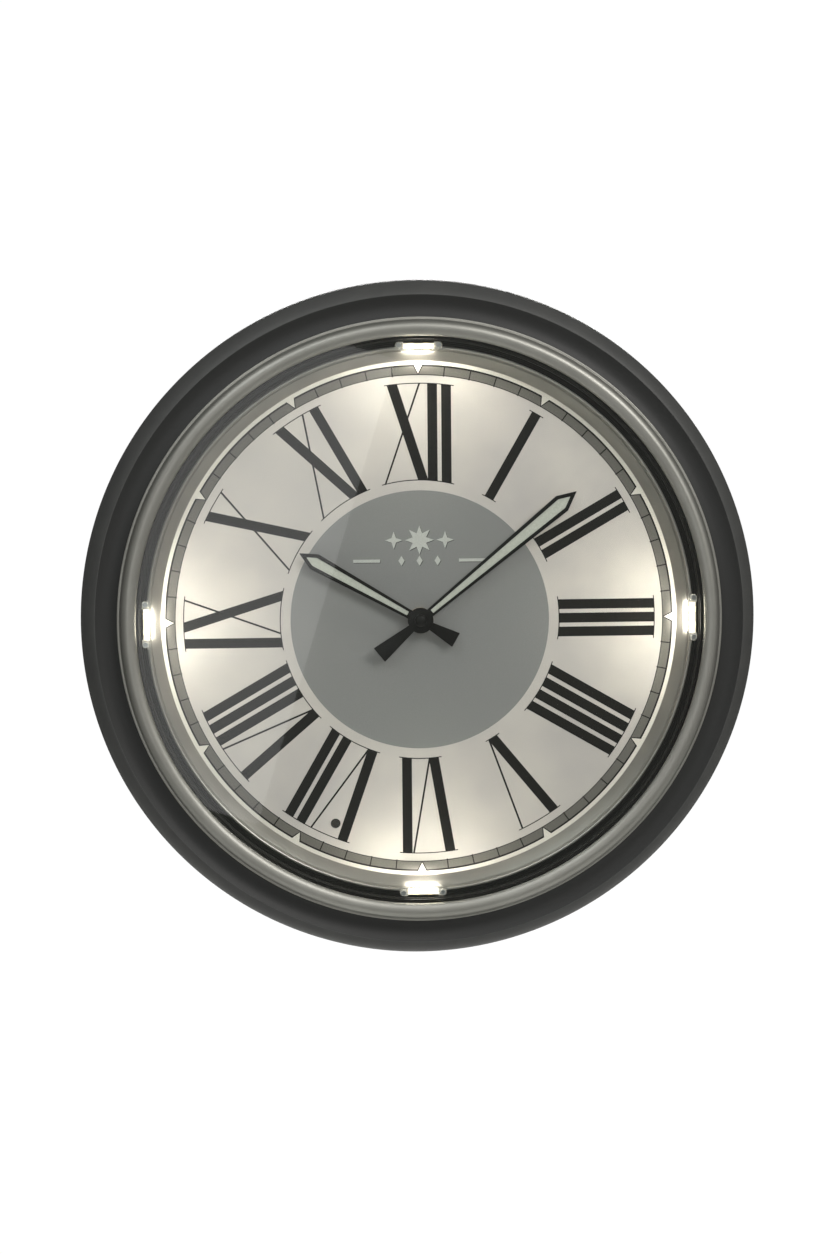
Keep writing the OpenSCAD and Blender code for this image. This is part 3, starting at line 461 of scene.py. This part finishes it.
studio = {
    "floorDrop": 1.2, "floorSize": 4.4, "fillFront": 0.24, "fillBack": 0.15, "fromBelow": 0.2, "backdrop": 1.02,
    "paperGlow": 0.85,  # how much of the floor's tone is plain paper white to the camera
    "soft": [
        {"name": "key", "at": (1.15, -1.45, 1.25), "size": (0.9, 0.9), "power": 23, "colour": "#fffcfa"},
        {"name": "left", "at": (-0.8, -1.2, 1.5), "size": (1.4, 1.0), "power": 11, "colour": "#fbfdff"},
        {"name": "rear", "at": (0.2, 2.6, 0.5), "size": (0.9, 0.9), "power": 60, "colour": "#ffffff"},
    ],
    # the white card beside the camera, whose edge shows as a slanting veil in the glass
    "card": {"edge": ((-0.141, -0.28), (-0.019, 0.116)), "y": -1.6, "size": (0.5, 0.9), "power": 1.8},
}


def areaLight(name, size, power, colour):
    data = bpy.data.lights.new(name, "AREA")
    data.shape = "RECTANGLE"
    data.size, data.size_y = size
    data.energy = power
    data.color = linear(colour)[:3]
    light = bpy.data.objects.new(name, data)
    bpy.context.scene.collection.objects.link(light)
    return light


def softLight(spec):
    light = areaLight(spec["name"], spec["size"], spec["power"], spec["colour"])
    light.location = spec["at"]
    light.rotation_euler = (-Vector(spec["at"])).to_track_quat("-Z", "Y").to_euler()


def whiteCard(spec):
    low, high = (Vector((x, 0, z)) for x, z in spec["edge"])
    along = (high - low).normalized()
    across = along.cross(Vector((0, -1, 0)))
    middle = (low + high) / 2 - across * spec["size"][0] / 2 + Vector((0, spec["y"], 0))
    light = areaLight("card", spec["size"], spec["power"], "#ffffff")
    turn = Matrix((across, along, (0, -1, 0))).transposed().to_4x4()
    light.matrix_world = Matrix.Translation(middle) @ turn
    light.visible_camera = False


def buildStudio():
    world = bpy.data.worlds.new("studio")
    bpy.context.scene.world = world
    world.use_nodes = True
    tree = world.node_tree
    fill = tree.nodes["Background"]
    fill.inputs["Color"].default_value = linear("#f8f6f1")
    ray = addNode(tree, "ShaderNodeNewGeometry")
    side = addNode(tree, "ShaderNodeSeparateXYZ", {}, {"Vector": ray.outputs["Incoming"]})
    grade = addNode(tree, "ShaderNodeMapRange", {}, {  # less light from behind the wall
        "Value": side.outputs["Y"], "From Min": -0.3, "From Max": 0.4,
        "To Min": studio["fillBack"], "To Max": studio["fillFront"]})
    above = addNode(tree, "ShaderNodeMapRange", {}, {
        "Value": side.outputs["Z"], "From Min": 0.5, "From Max": -0.3,
        "To Min": studio["fromBelow"], "To Max": 1.0})
    shaded = addNode(tree, "ShaderNodeMath", {"operation": "MULTIPLY"}, {
        0: grade.outputs["Result"], 1: above.outputs["Result"]})
    tree.links.new(shaded.outputs["Value"], fill.inputs["Strength"])
    seen = addNode(tree, "ShaderNodeBackground", {}, {
        "Color": linear("#ffffff"), "Strength": studio["backdrop"]})
    path = addNode(tree, "ShaderNodeLightPath")
    both = addNode(tree, "ShaderNodeMixShader", {}, {
        "Fac": path.outputs["Is Camera Ray"], 1: fill.outputs["Background"], 2: seen.outputs["Background"]})
    tree.links.new(both.outputs["Shader"], tree.nodes["World Output"].inputs["Surface"])

    bm = bmesh.new()
    bmesh.ops.create_grid(bm, x_segments=1, y_segments=1, size=studio["floorSize"] / 2)
    bmesh.ops.translate(bm, verts=bm.verts, vec=(0, 0, -studio["floorDrop"]))
    floor = meshObject("floor", bm)
    material, tree, shader = newMaterial("paperFloor", {"Roughness": 0.9})
    tintBy(tree, shader, objectNoise(tree, 60, 2.0), "#f4f4f2", "#f8f8f6")
    lit = addNode(tree, "ShaderNodeEmission", {}, {"Color": linear("#fcfcfb"), "Strength": 1.0})
    path = addNode(tree, "ShaderNodeLightPath")
    most = addNode(tree, "ShaderNodeMath", {"operation": "MULTIPLY"}, {
        0: path.outputs["Is Camera Ray"], 1: studio["paperGlow"]})
    paper = addNode(tree, "ShaderNodeMixShader", {}, {
        "Fac": most.outputs["Value"], 1: shader.outputs["BSDF"], 2: lit.outputs["Emission"]})
    tree.links.new(paper.outputs["Shader"], tree.nodes["Material Output"].inputs["Surface"])
    floor.data.materials.append(material)
    for spec in studio["soft"]:
        softLight(spec)
    whiteCard(studio["card"])


placeCamera()
buildStudio()
bpy.context.scene.view_settings.view_transform = "Standard"
print("camera and studio ready")


# ---- case ----

caseShape = {
    "belt": 20, "flankWidth": 8, "rimSet": 6, "coveWidth": 11.5, "coveDrop": 1.7, "wall": 3,
    "sweep": 70, "seatThickness": 2.5, "seatInner": 150.6, "rimSoft": 0.8, "ridgeSoft": 0.5,
    "bosses": 6, "bossFrom": 30, "bossRadius": 4, "bossOut": 1.5, "bossGap": 2.05,
}


def sideCurve(shape, radius, height, width, degrees):  # quarter-round flank; height runs from the belt
    lean = (1 - cos(radians(degrees))) / (1 - cos(radians(shape["sweep"])))
    rise = sin(radians(degrees)) / sin(radians(shape["sweep"]))
    return radius - width * lean, shape["belt"] + height * rise


def makeCase():
    s = caseShape
    outer, ridge, seat = caseAt["radius"], caseAt["front"], bezelAt["back"]
    ridgeRadius = outer - s["flankWidth"]
    roof = seat - s["seatThickness"]
    profile = [sideCurve(s, outer, -s["belt"], s["rimSet"], a) for a in range(s["sweep"], 0, -5)]
    profile[0] += (s["rimSoft"],)
    profile += [sideCurve(s, outer, ridge - s["belt"], s["flankWidth"], a) for a in range(0, s["sweep"] + 1, 5)]
    profile[-1] += (s["ridgeSoft"],)
    for i in range(1, 25):
        u = i / 24
        drop = s["coveDrop"] * sin(pi * u) + (ridge - seat) * u
        profile.append((ridgeRadius - s["coveWidth"] * u, ridge - drop))
    profile += [(s["seatInner"], seat, 0.3), (s["seatInner"], roof, 0.3), (bezelAt["radius"], roof),
                (bezelAt["radius"] + 1, roof - 1), (ridgeRadius - s["wall"], roof - 1)]
    inside = outer - s["wall"]
    profile += [sideCurve(s, inside, ridge - s["belt"], s["flankWidth"], a) for a in range(50, -1, -10)]
    profile += [sideCurve(s, inside, -s["belt"], s["rimSet"], a) for a in range(10, s["sweep"] + 1, 10)]
    bm = bmesh.new()
    spinProfile(bm, softened(profile))
    for i in range(s["bosses"]):  # the rear cover's screw bosses
        x, z = clockwise(0, bezelAt["radius"] + s["bossOut"], s["bossFrom"] + 360 / s["bosses"] * i)
        raiseOutline(bm, circle(s["bossRadius"], 32, x, z), reach("back_cover")["back"] + s["bossGap"], roof)
    finishPiece(meshObject("case_shell", bm), finishes["caseAbs"], replaces=["case_ring"])


bezelShape = {"lip": 1.3, "lipHeight": 2, "sight": 148.5, "returnLip": 0.55, "underGap": 0.3}


def makeBezel():
    s = bezelShape
    seat, crest = bezelAt["back"], bezelAt["front"]
    beadOuter = bezelAt["radius"] - s["lip"]
    half = (beadOuter - s["sight"]) / 2
    valley, rest = seat + s["lipHeight"], glassAt["front"]
    profile = [(bezelAt["radius"], seat, 0.2), (bezelAt["radius"], valley, 0.5), (beadOuter, valley, 0.15)]
    for a in range(6, 175, 6):
        foot = valley if a <= 90 else rest + s["returnLip"]
        profile.append((s["sight"] + half * (1 + cos(radians(a))), foot + (crest - foot) * sin(radians(a))))
    profile += [(s["sight"], rest + s["returnLip"], 0.25), (s["sight"], rest, 0.15),
                (glassAt["radius"] + s["underGap"], rest), (glassAt["radius"] + s["underGap"], seat)]
    bm = bmesh.new()
    spinProfile(bm, softened(profile))
    finishPiece(meshObject("bezel", bm), finishes["bezel"], replaces=["bezel_ring"], crease=50)


gasketShape = {
    "inner": 146.4, "outer": 150.6, "ribs": 2, "ribHeight": 0.5, "ribFrom": 0.9, "ribPitch": 1.1, "lipDrop": 0.5,
}


def makeGasket():  # the visible inner face carries two fine sealing ribs
    s = gasketShape
    low, top = reflectorAt["front"], gasketAt["front"]
    span = glassAt["radius"] - s["inner"]
    lip = top - s["lipDrop"]
    profile = [(s["inner"], low, 0.2), (s["inner"], lip, 0.4)]
    for i in range(s["ribs"]):
        middle = s["inner"] + s["ribFrom"] + s["ribPitch"] * i
        profile += [(middle - 0.4, lip), (middle - 0.12, lip + s["ribHeight"], 0.1),
                    (middle + 0.12, lip + s["ribHeight"], 0.1), (middle + 0.4, lip)]
    profile += [(s["inner"] + span * 0.55, lip), (s["inner"] + span * 0.6, top, 0.1), (glassAt["radius"], top),
                (glassAt["radius"], bezelAt["back"]), (s["outer"], bezelAt["back"]), (s["outer"], low)]
    bm = bmesh.new()
    spinProfile(bm, softened(profile))
    finishPiece(meshObject("glass_gasket", bm), finishes["gasketRubber"], replaces=["lens_gasket"])


paneShape = {"groundEdge": 0.4}


def makePane():
    edge = paneShape["groundEdge"]
    bm = bmesh.new()
    spinProfile(bm, softened([(0, glassAt["back"]), (glassAt["radius"], glassAt["back"], edge),
                              (glassAt["radius"], glassAt["front"], edge), (0, glassAt["front"])]), closed=False)
    pane = finishPiece(meshObject("glass_pane", bm), finishes["pane"], replaces=["front_glass"])
    pane.visible_shadow = False


# ---- reflector and lamps ----

reflectorShape = {
    "foot": 135.7, "slopeTop": 141.0, "notch": 0.45, "beadWidth": 1.7, "beadHeight": 1.0, "wall": 1.5,
    "grooves": (144.3, 145.3), "grooveDepth": 0.3, "slopeDrop": 1.1, "beadGap": 0.7, "beadDrop": 0.9,
    "backCorner": 142.6, "footWidth": 2.9, "footRise": 1.3,
}
lampShape = {
    "ring": 143.1, "length": 16.2, "width": 3.2, "base": 33.0, "top": 36.5, "pocketGap": 0.3,
    "earX": 10.5, "earRing": 143.7, "earRadius": 1.8, "earHeight": 1.2, "soft": 0.35,
}


def eachLamp(outline):  # an outline drawn at twelve, repeated at the four quarters
    return [[clockwise(x, z, 90 * i) for x, z in outline] for i in range(4)]


def bar(width, height, x=0, z=0):
    return [(x - width / 2, z - height / 2), (x - width / 2, z + height / 2),
            (x + width / 2, z + height / 2), (x + width / 2, z - height / 2)]


def makeReflector():
    s, lamp = reflectorShape, lampShape
    foot, ledge = dialAt["front"], reflectorAt["front"]
    outer = reflectorAt["radius"]
    start = s["slopeTop"] + s["beadGap"]
    slopeEnd = ledge - s["slopeDrop"]
    profile = [(s["foot"], foot, 0.1), (s["slopeTop"], slopeEnd, 0.1),
               (s["slopeTop"] + 0.1, slopeEnd - s["notch"]), (start, ledge - s["beadDrop"])]
    profile += [(start + s["beadWidth"] * (1 - cos(radians(a))) / 2, ledge + s["beadHeight"] * sin(radians(a)))
                for a in range(0, 181, 15)]
    for groove in s["grooves"]:
        profile += [(groove - 0.3, ledge), (groove - 0.1, ledge - s["grooveDepth"]),
                    (groove + 0.1, ledge - s["grooveDepth"]), (groove + 0.3, ledge)]
    profile += [(outer, ledge), (outer, ledge - s["wall"]), (s["backCorner"], ledge - s["wall"]),
                (s["foot"] + s["footWidth"], foot + s["footRise"]), (s["foot"] + s["footWidth"], foot)]
    bm = bmesh.new()
    spinProfile(bm, softened(profile))
    ring = meshObject("reflector", bm)
    trays = bmesh.new()  # closed trays that hold the lamp boards
    for outline in eachLamp(bar(2 * lamp["earX"] + 4, lamp["width"] + 2, 0, lamp["ring"] + 0.4)):
        raiseOutline(trays, outline, lamp["base"] - 2.0, ledge - s["wall"] + 0.2)
    carve(ring, meshObject("trays", trays), "UNION")
    pockets = bmesh.new()
    gap = 2 * lamp["pocketGap"]
    for outline in eachLamp(bar(lamp["length"] + gap, lamp["width"] + gap, 0, lamp["ring"])):
        raiseOutline(pockets, outline, lamp["base"] - 0.8, ledge + 2)
    carve(ring, meshObject("pockets", pockets))
    flats = bmesh.new()  # the rolled bead is left off under the screwed ears
    flatLength = 2 * lamp["earX"] + 2 * lamp["earRadius"] + 1
    for outline in eachLamp(bar(flatLength, lamp["width"] + 3, 0, lamp["ring"])):
        raiseOutline(flats, outline, ledge, ledge + 2)
    carve(ring, meshObject("flats", flats))
    finishPiece(ring, finishes["reflector"], replaces=["reflector_ring"], crease=30)


def makeLampCovers():
    s = lampShape
    ledge = reflectorAt["front"]
    bm = bmesh.new()
    for outline in eachLamp(bar(s["length"], s["width"], 0, s["ring"])):
        raiseOutline(bm, outline, s["base"] + 0.02, s["top"])
    bevelFront(bm, s["top"], s["soft"], 3)
    ears = bmesh.new()
    tab = [(-s["earX"], s["earRing"] - s["earRadius"])]
    tab += [(-s["earX"] - s["earRadius"] * sin(radians(a)), s["earRing"] - s["earRadius"] * cos(radians(a)))
            for a in range(15, 181, 15)]
    half = s["length"] / 2 + 0.02
    tab += [(-half, s["earRing"] + s["earRadius"]), (-half, s["earRing"] - s["earRadius"])]
    for side in (tab, [(-x, z) for x, z in tab]):
        for outline in eachLamp(side):
            raiseOutline(ears, outline, ledge + 0.02, ledge + s["earHeight"])
    bevelFront(ears, ledge + s["earHeight"], 0.25, 2)
    covers = finishPiece(meshObject("lamp_covers", bm), finishes["lens"], replaces=["led_covers"])
    tabs = finishPiece(meshObject("lamp_cover_ears", ears), finishes["ears"])
    for piece in (covers, tabs):
        piece.visible_shadow = False


# Small lamps just over the covers: they throw the light that the chips give, in a fan across the dial
lampLight = {
    "colour": "#fff6ea", "radius": 5,
    "fans": [  # place along the cover, from the hands' axis and in depth; aim point; cone; power
        {"x": -9, "ring": 139, "depth": 57, "aimX": -28, "aimRing": 104, "cone": 120, "power": 0.1},
        {"x": 9, "ring": 139, "depth": 57, "aimX": 28, "aimRing": 104, "cone": 120, "power": 0.1},
    ],
    "wash": {"size": (15, 3), "slope": (138.6, 31.2), "lift": 6.0, "tilt": 42, "power": 0.005},
}


def lightLamps():
    for i in range(4):
        for fan in lampLight["fans"]:
            data = bpy.data.lights.new("lampFan", "SPOT")
            data.energy = fan["power"]
            data.color = linear(lampLight["colour"])[:3]
            data.spot_size = radians(fan["cone"])
            data.spot_blend = 1.0
            data.shadow_soft_size = lampLight["radius"] * mm
            x, z = clockwise(fan["x"], fan["ring"], 90 * i)
            aimX, aimZ = clockwise(fan["aimX"], fan["aimRing"], 90 * i)
            light = bpy.data.objects.new("lampFan", data)
            bpy.context.scene.collection.objects.link(light)
            light.visible_camera = light.visible_glossy = False  # the lamp itself sits under its cover
            light.location = (x * mm, -fan["depth"] * mm, z * mm)
            aim = Vector((aimX * mm, -dialAt["front"] * mm, aimZ * mm))
            light.rotation_euler = (aim - light.location).to_track_quat("-Z", "Y").to_euler()
        wash = lampLight["wash"]  # a strip that faces the reflector's slope beside the cover
        strip = areaLight("lampWash", [v * mm for v in wash["size"]], wash["power"], lampLight["colour"])
        ring, depth = wash["slope"]
        tilt = radians(wash["tilt"])
        ring, depth = ring - wash["lift"] * cos(tilt), depth + wash["lift"] * sin(tilt)
        turn = Matrix.Rotation(radians(90 * i), 4, "Y") @ Matrix.Translation((0, -depth * mm, ring * mm))
        facing = Vector((0, sin(tilt), cos(tilt))).to_track_quat("-Z", "X").to_matrix().to_4x4()
        strip.matrix_world = turn @ facing @ Matrix.Rotation(radians(90), 4, "Z")
        strip.visible_camera = False


makeCase()
makeBezel()
makeGasket()
makePane()
makeReflector()
makeLampCovers()
lightLamps()
print("case, bezel, glass and lamps built")


# ---- printed dial ----

printShape = {
    "film": 0.04,  # mm per layer, drawn thicker than real ink
    "white": (133.7, 135.6), "line": (132.8, 133.7), "track": (128.5, 133.0), "trackEdge": (128.2, 128.6),
    "tickWidth": 0.6, "centre": (6.5, 68.1), "triangleBase": 4.6, "triangleTip": 129.0, "triangleBorder": 0.65,
}


def printLayer(name, outlines, inkName, level=1):  # flat outlines as films on the dial
    bm = bmesh.new()
    face = dialAt["front"]
    for outline in outlines:
        raiseOutline(bm, outline, face, face + printShape["film"] * level)
    return finishPiece(meshObject(name, bm), finishes[inkName])


def printRing(name, span, inkName, level=1):
    bm = bmesh.new()
    face = dialAt["front"]
    top = face + printShape["film"] * level
    spinProfile(bm, [(span[0], face), (span[0], top), (span[1], top), (span[1], face)])
    return finishPiece(meshObject(name, bm), finishes[inkName])


def makeTrack():
    s = printShape
    printRing("chapter_white_ring", s["white"], "whiteInk")
    printRing("chapter_track", s["track"], "trackInk")
    printRing("chapter_line", s["line"], "blackInk", 2)
    printRing("chapter_inner_edge", s["trackEdge"], "blackInk", 2)
    printRing("centre_disc", s["centre"], "greyInk")
    low, high = s["trackEdge"][0] - 0.3, s["line"][1]
    ticks = [[clockwise(x, z, 6 * i) for x, z in bar(s["tickWidth"], high - low, 0, (low + high) / 2)]
             for i in range(60) if i % 5]
    printLayer("minute_separators", ticks, "blackInk", 2)
    base, tip, border = s["triangleBase"] / 2, s["triangleTip"], s["triangleBorder"]
    edge = s["white"][0]
    dark = [(-base - border, edge), (base + border, edge), (0.1, tip - 0.7), (-0.1, tip - 0.7)]
    pale = [(-base, edge + 0.3), (base, edge + 0.3), (0, tip)]
    for name, shape, inkName, level in (("hour_marker_edges", dark, "blackInk", 3),
                                        ("hour_markers", pale, "whiteInk", 4)):
        printLayer(name, [[clockwise(x, z, 30 * i) for x, z in shape] for i in range(12)], inkName, level)


numeralShape = {
    "outer": 124.0, "inner": 73.5, "thick": 5.15, "thin": 0.95, "pitch": 7.25, "serif": 0.5, "serifReach": 1.6,
}
# Strokes of each letter as (x at the outer arc, x at the inner arc, is it thick)
letterStrokes = {
    "I": [(0, 0, True)],
    "V": [(-8.5, 0, True), (10.9, 2.2, False)],
    "v": [(-9.4, 0, True), (8.5, 2.2, False)],  # narrower beside two or three ones
    "X": [(-7.1, 9.0, True), (7.3, -10.8, False)],
}
# Each hour's letters and where they stand along the arc, in mm from its middle
hourLetters = [
    [("X", -6.7), ("I", 7.3), ("I", 14.6)],
    [("I", 0)],
    [("I", -3.6), ("I", 3.6)],
    [("I", -7.25), ("I", 0), ("I", 7.25)],
    [("I", -10.9), ("I", -3.6), ("I", 3.6), ("I", 10.9)],
    [("V", -1.3)],
    [("V", -6.6), ("I", 7.6)],
    [("v", -12.3), ("I", 2.5), ("I", 9.7)],
    [("v", -14.2), ("I", -1.0), ("I", 6.3), ("I", 13.6)],
    [("I", -11.0), ("X", 4.6)],
    [("X", 0)],
    [("X", -5.6), ("I", 8.2)],
]


def strokeOutline(top, bottom, width):  # a bar between the arcs, its ends cut along them
    s = numeralShape
    slant = (s["outer"] - s["inner"]) / hypot(s["outer"] - s["inner"], top - bottom)
    half = width / 2 / slant
    ends = [(top - half, s["outer"]), (top + half, s["outer"]),
            (bottom + half, s["inner"]), (bottom - half, s["inner"])]
    return [(x, sqrt(r * r - x * x)) for x, r in ends]


def makeNumerals():
    s = numeralShape
    face = dialAt["front"]
    strokes, serifs = bmesh.new(), bmesh.new()
    for hour, letters in enumerate(hourLetters):
        for radius, end in ((s["outer"], 0), (s["inner"], 1)):
            sides = [(at + stroke[end], (s["thick"] if stroke[2] else s["thin"]) / 2)
                     for letter, at in letters for stroke in letterStrokes[letter]]
            left = min(x - half for x, half in sides) - s["serifReach"]
            right = max(x + half for x, half in sides) + s["serifReach"]
            a, b = (180 / pi * x / radius for x in (left, right))
            band = arcBand(radius - s["serif"] / 2, radius + s["serif"] / 2, a, b, 24)
            raiseOutline(serifs, [clockwise(x, z, 30 * hour) for x, z in band], face, face + printShape["film"])
        for letter, at in letters:
            for top, bottom, thick in letterStrokes[letter]:
                outline = strokeOutline(at + top, at + bottom, s["thick"] if thick else s["thin"])
                raiseOutline(strokes, [clockwise(x, z, 30 * hour) for x, z in outline],
                             face, face + printShape["film"])
    numerals = meshObject("hour_numerals", strokes)
    carve(numerals, meshObject("serifs", serifs), "UNION", selfCross=True)
    finishPiece(numerals, finishes["blackInk"])


ornamentShape = {
    "barWidth": 14.1, "barHeight": 1.6, "barX": 27.8, "barZ": 31.2, "shadow": (0.35, -0.35),
    "starZ": 42.0, "star": 7.6, "sideStar": 4.6, "sideX": 13.5, "lozenge": 2.6, "lozengeX": (-9.5, 0, 9.5),
}


def starOutline(radius, points, x, z, waist=0.36):
    out = []
    for i in range(2 * points):
        r = radius * (1 if i % 2 == 0 else waist)
        out.append((x + r * sin(pi * i / points), z + r * cos(pi * i / points)))
    return out


def makeOrnament():  # a plain row of stars over a ruled line of lozenges
    s = ornamentShape
    shapes = [starOutline(s["star"], 8, 0, s["starZ"], 0.5)]
    shapes += [starOutline(s["sideStar"], 4, side * s["sideX"], s["starZ"]) for side in (-1, 1)]
    shapes += [starOutline(s["lozenge"], 2, x, s["barZ"], 0.62) for x in s["lozengeX"]]
    shapes += [bar(s["barWidth"], s["barHeight"], side * s["barX"], s["barZ"]) for side in (-1, 1)]
    dx, dz = s["shadow"]
    # the offset dark copy is a painted shadow of the stars, lozenges and bars
    printLayer("ornament_shading", [[(x + dx, z + dz) for x, z in shape] for shape in shapes], "paintedShadowInk", 2)
    printLayer("ornament", shapes, "paleInk", 3)


makeTrack()
makeNumerals()
makeOrnament()
print("dial printed")


# ---- hands ----

handShape = {
    "hub": 6.7, "root": 2.3, "tailRoot": 1.8, "border": 2.05, "stripRoot": 1.05, "stripGap": 0.9,
    "thickness": 0.5, "bevel": 0.14, "hubBevel": 0.2, "lumeDepth": 0.14,
    "hour": {"width": 8.9, "tail": 21.4, "bore": 2.5}, "minute": {"width": 9.9, "tail": 28.2, "bore": 1.5},
}


def makeHand(kind):
    s, own = handShape, handShape[kind]
    tip = farthest(kind + "_hand")
    length = hypot(tip.x, tip.z)
    low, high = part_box(kind + "_hand")
    back, front = -high.y / mm, -low.y / mm
    blade = front - s["thickness"]
    width, tail = own["width"], own["tail"]
    shoulder = length - width * 1.01

    def point(x, z):  # from twelve to where the hand points
        return (x * tip.z + z * tip.x) / length, (z * tip.z - x * tip.x) / length

    outline = softened([
        (-s["root"], 4), (-width / 2, shoulder, 0.3), (0, length, 0.25), (width / 2, shoulder, 0.3), (s["root"], 4),
        (s["tailRoot"], -4), (width * 0.47, -tail, 0.35), (-width * 0.47, -tail, 0.35), (-s["tailRoot"], -4)])
    bm = bmesh.new()
    raiseOutline(bm, [point(x, z) for x, z in outline], blade, front)
    bevelFront(bm, front, s["bevel"])
    hub = bmesh.new()
    raiseOutline(hub, circle(s["hub"], 96), back, front)
    bevelFront(hub, front, s["hubBevel"])
    hand = meshObject(kind + "_hand_blade", bm)
    carve(hand, meshObject("hub", hub), "UNION")

    start = s["hub"] + s["stripGap"]
    top = shoulder - 0.2
    near, far = s["stripRoot"], width / 2 - s["border"]
    strip = [(-near, start), (-far, top), (0, length - s["border"] * 2.1), (far, top), (near, start)]
    stripOutline = [point(x, z) for x, z in softened([corner + (0.25,) for corner in strip])]
    window = bmesh.new()
    raiseOutline(window, stripOutline, blade - 1, front + 1)
    carve(hand, meshObject("window", window))
    bore = bmesh.new()
    raiseOutline(bore, circle(own["bore"], 48), back - 1, front + 1)
    carve(hand, meshObject("bore", bore))
    finishPiece(hand, finishes["hand"], kind, [kind + "_hand"], crease=60)

    paint = bmesh.new()
    raiseOutline(paint, stripOutline, blade, front - s["lumeDepth"])
    finishPiece(meshObject(kind + "_hand_paint", paint), finishes["lume"], kind, [kind + "_lume"])


nutShape = {"wall": 0.9, "domeShare": 0.94}


def makeNut():  # low domed nut with a small rolled edge
    radius, back, top = nutAt["radius"], nutAt["back"], nutAt["front"]
    foot = back + nutShape["wall"]
    profile = [(0, back), (radius, back, 0.1), (radius, foot, 0.15)]
    profile += [(radius * nutShape["domeShare"] * cos(radians(a)), foot + (top - foot) * sin(radians(a)))
                for a in range(6, 90, 6)]
    profile.append((0, top))
    bm = bmesh.new()
    spinProfile(bm, softened(profile, closed=False), steps=64, closed=False)
    finishPiece(meshObject("hand_cap", bm), finishes["hand"], "minute", ["hand_nut"], crease=50)


makeHand("hour")
makeHand("minute")
makeNut()
print("hands built")


# ---- rear mouldings with their edges rounded ----

rearEdges = {  # mm of rounding, finish, slot, body
    "back_cover": (0.4, "rearAbs", "back_plastic", "root"),
    "battery_door": (0.3, "rearAbs", "back_plastic", "door"),
    "movement_cover": (0.3, "movementAbs", "movement_plastic", "root"),
    "setting_knob": (0.25, "movementAbs", "movement_plastic", "setting"),
    "switch_slider": (0.2, "movementAbs", "movement_plastic", "slider"),
    "hanger_plate": (0.2, "zincPlatedSteel", "steel", "root"),
}


def roundEdges(name, width, finish, body):
    bm = bmesh.new()
    bm.from_mesh(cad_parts[name].data)
    bmesh.ops.remove_doubles(bm, verts=bm.verts, dist=1e-6)
    bmesh.ops.dissolve_limit(bm, angle_limit=radians(1), verts=bm.verts, edges=bm.edges)
    sharp = [e for e in bm.edges if len(e.link_faces) == 2 and e.calc_face_angle(0) > radians(40)]
    bmesh.ops.bevel(bm, geom=sharp, offset=width * mm, offset_type="OFFSET", segments=2,
                    profile=0.5, affect="EDGES", material=-1, clamp_overlap=True)
    finishPiece(meshObject(name + "_moulding", bm), finishes[finish], body, [name], crease=15)


for name, (width, finish, slot, body) in rearEdges.items():
    roundEdges(name, width, finish, body)
print("rear mouldings rounded:", len(rearEdges))


# ---- fittings kept from the frame ----

fittings = {
    "dial": ["dial_plate"],
    "rearAbs": ["battery_box"],
    "movementAbs": ["movement_case", "sensor_holder"],
    "zincPlatedSteel": ["hanger_screws", "case_screws", "bezel_screws", "led_screws",
                        "board_screws", "box_screws", "movement_screws", "battery_contacts",
                        "movement_contacts", "switch_body", "quartz_crystal"],
    "turnedBrass": ["centre_bush", "dial_washer", "dial_nut", "minute_pipe"],
    "gasketRubber": ["cushion_washer"],
    "lampBoardResin": ["led_boards", "coil_bobbin"],
    "phosphor": ["leds"],
    "flexPvc": ["led_wires", "sensor_wires", "battery_wires"],
    "sensorWindow": ["light_sensor"],
    "board": ["control_board", "quartz_board"],
    "cell": ["lamp_cells", "movement_cell"],
    "lacqueredCopper": ["coil_winding"],
    "siliconIron": ["coil_core", "stator"],
    "ferriteMagnet": ["rotor_magnet"],
    "wheelAcetal": ["rotor_pinion", "step_wheel", "seconds_wheel", "third_wheel", "centre_wheel",
                    "minute_wheel", "hour_wheel"],
}
for finish, names in fittings.items():
    for name in names:
        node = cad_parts[name]
        node.data.materials.clear()
        node.data.materials.append(finishes[finish])
print("fittings finished:", sum(len(names) for names in fittings.values()))
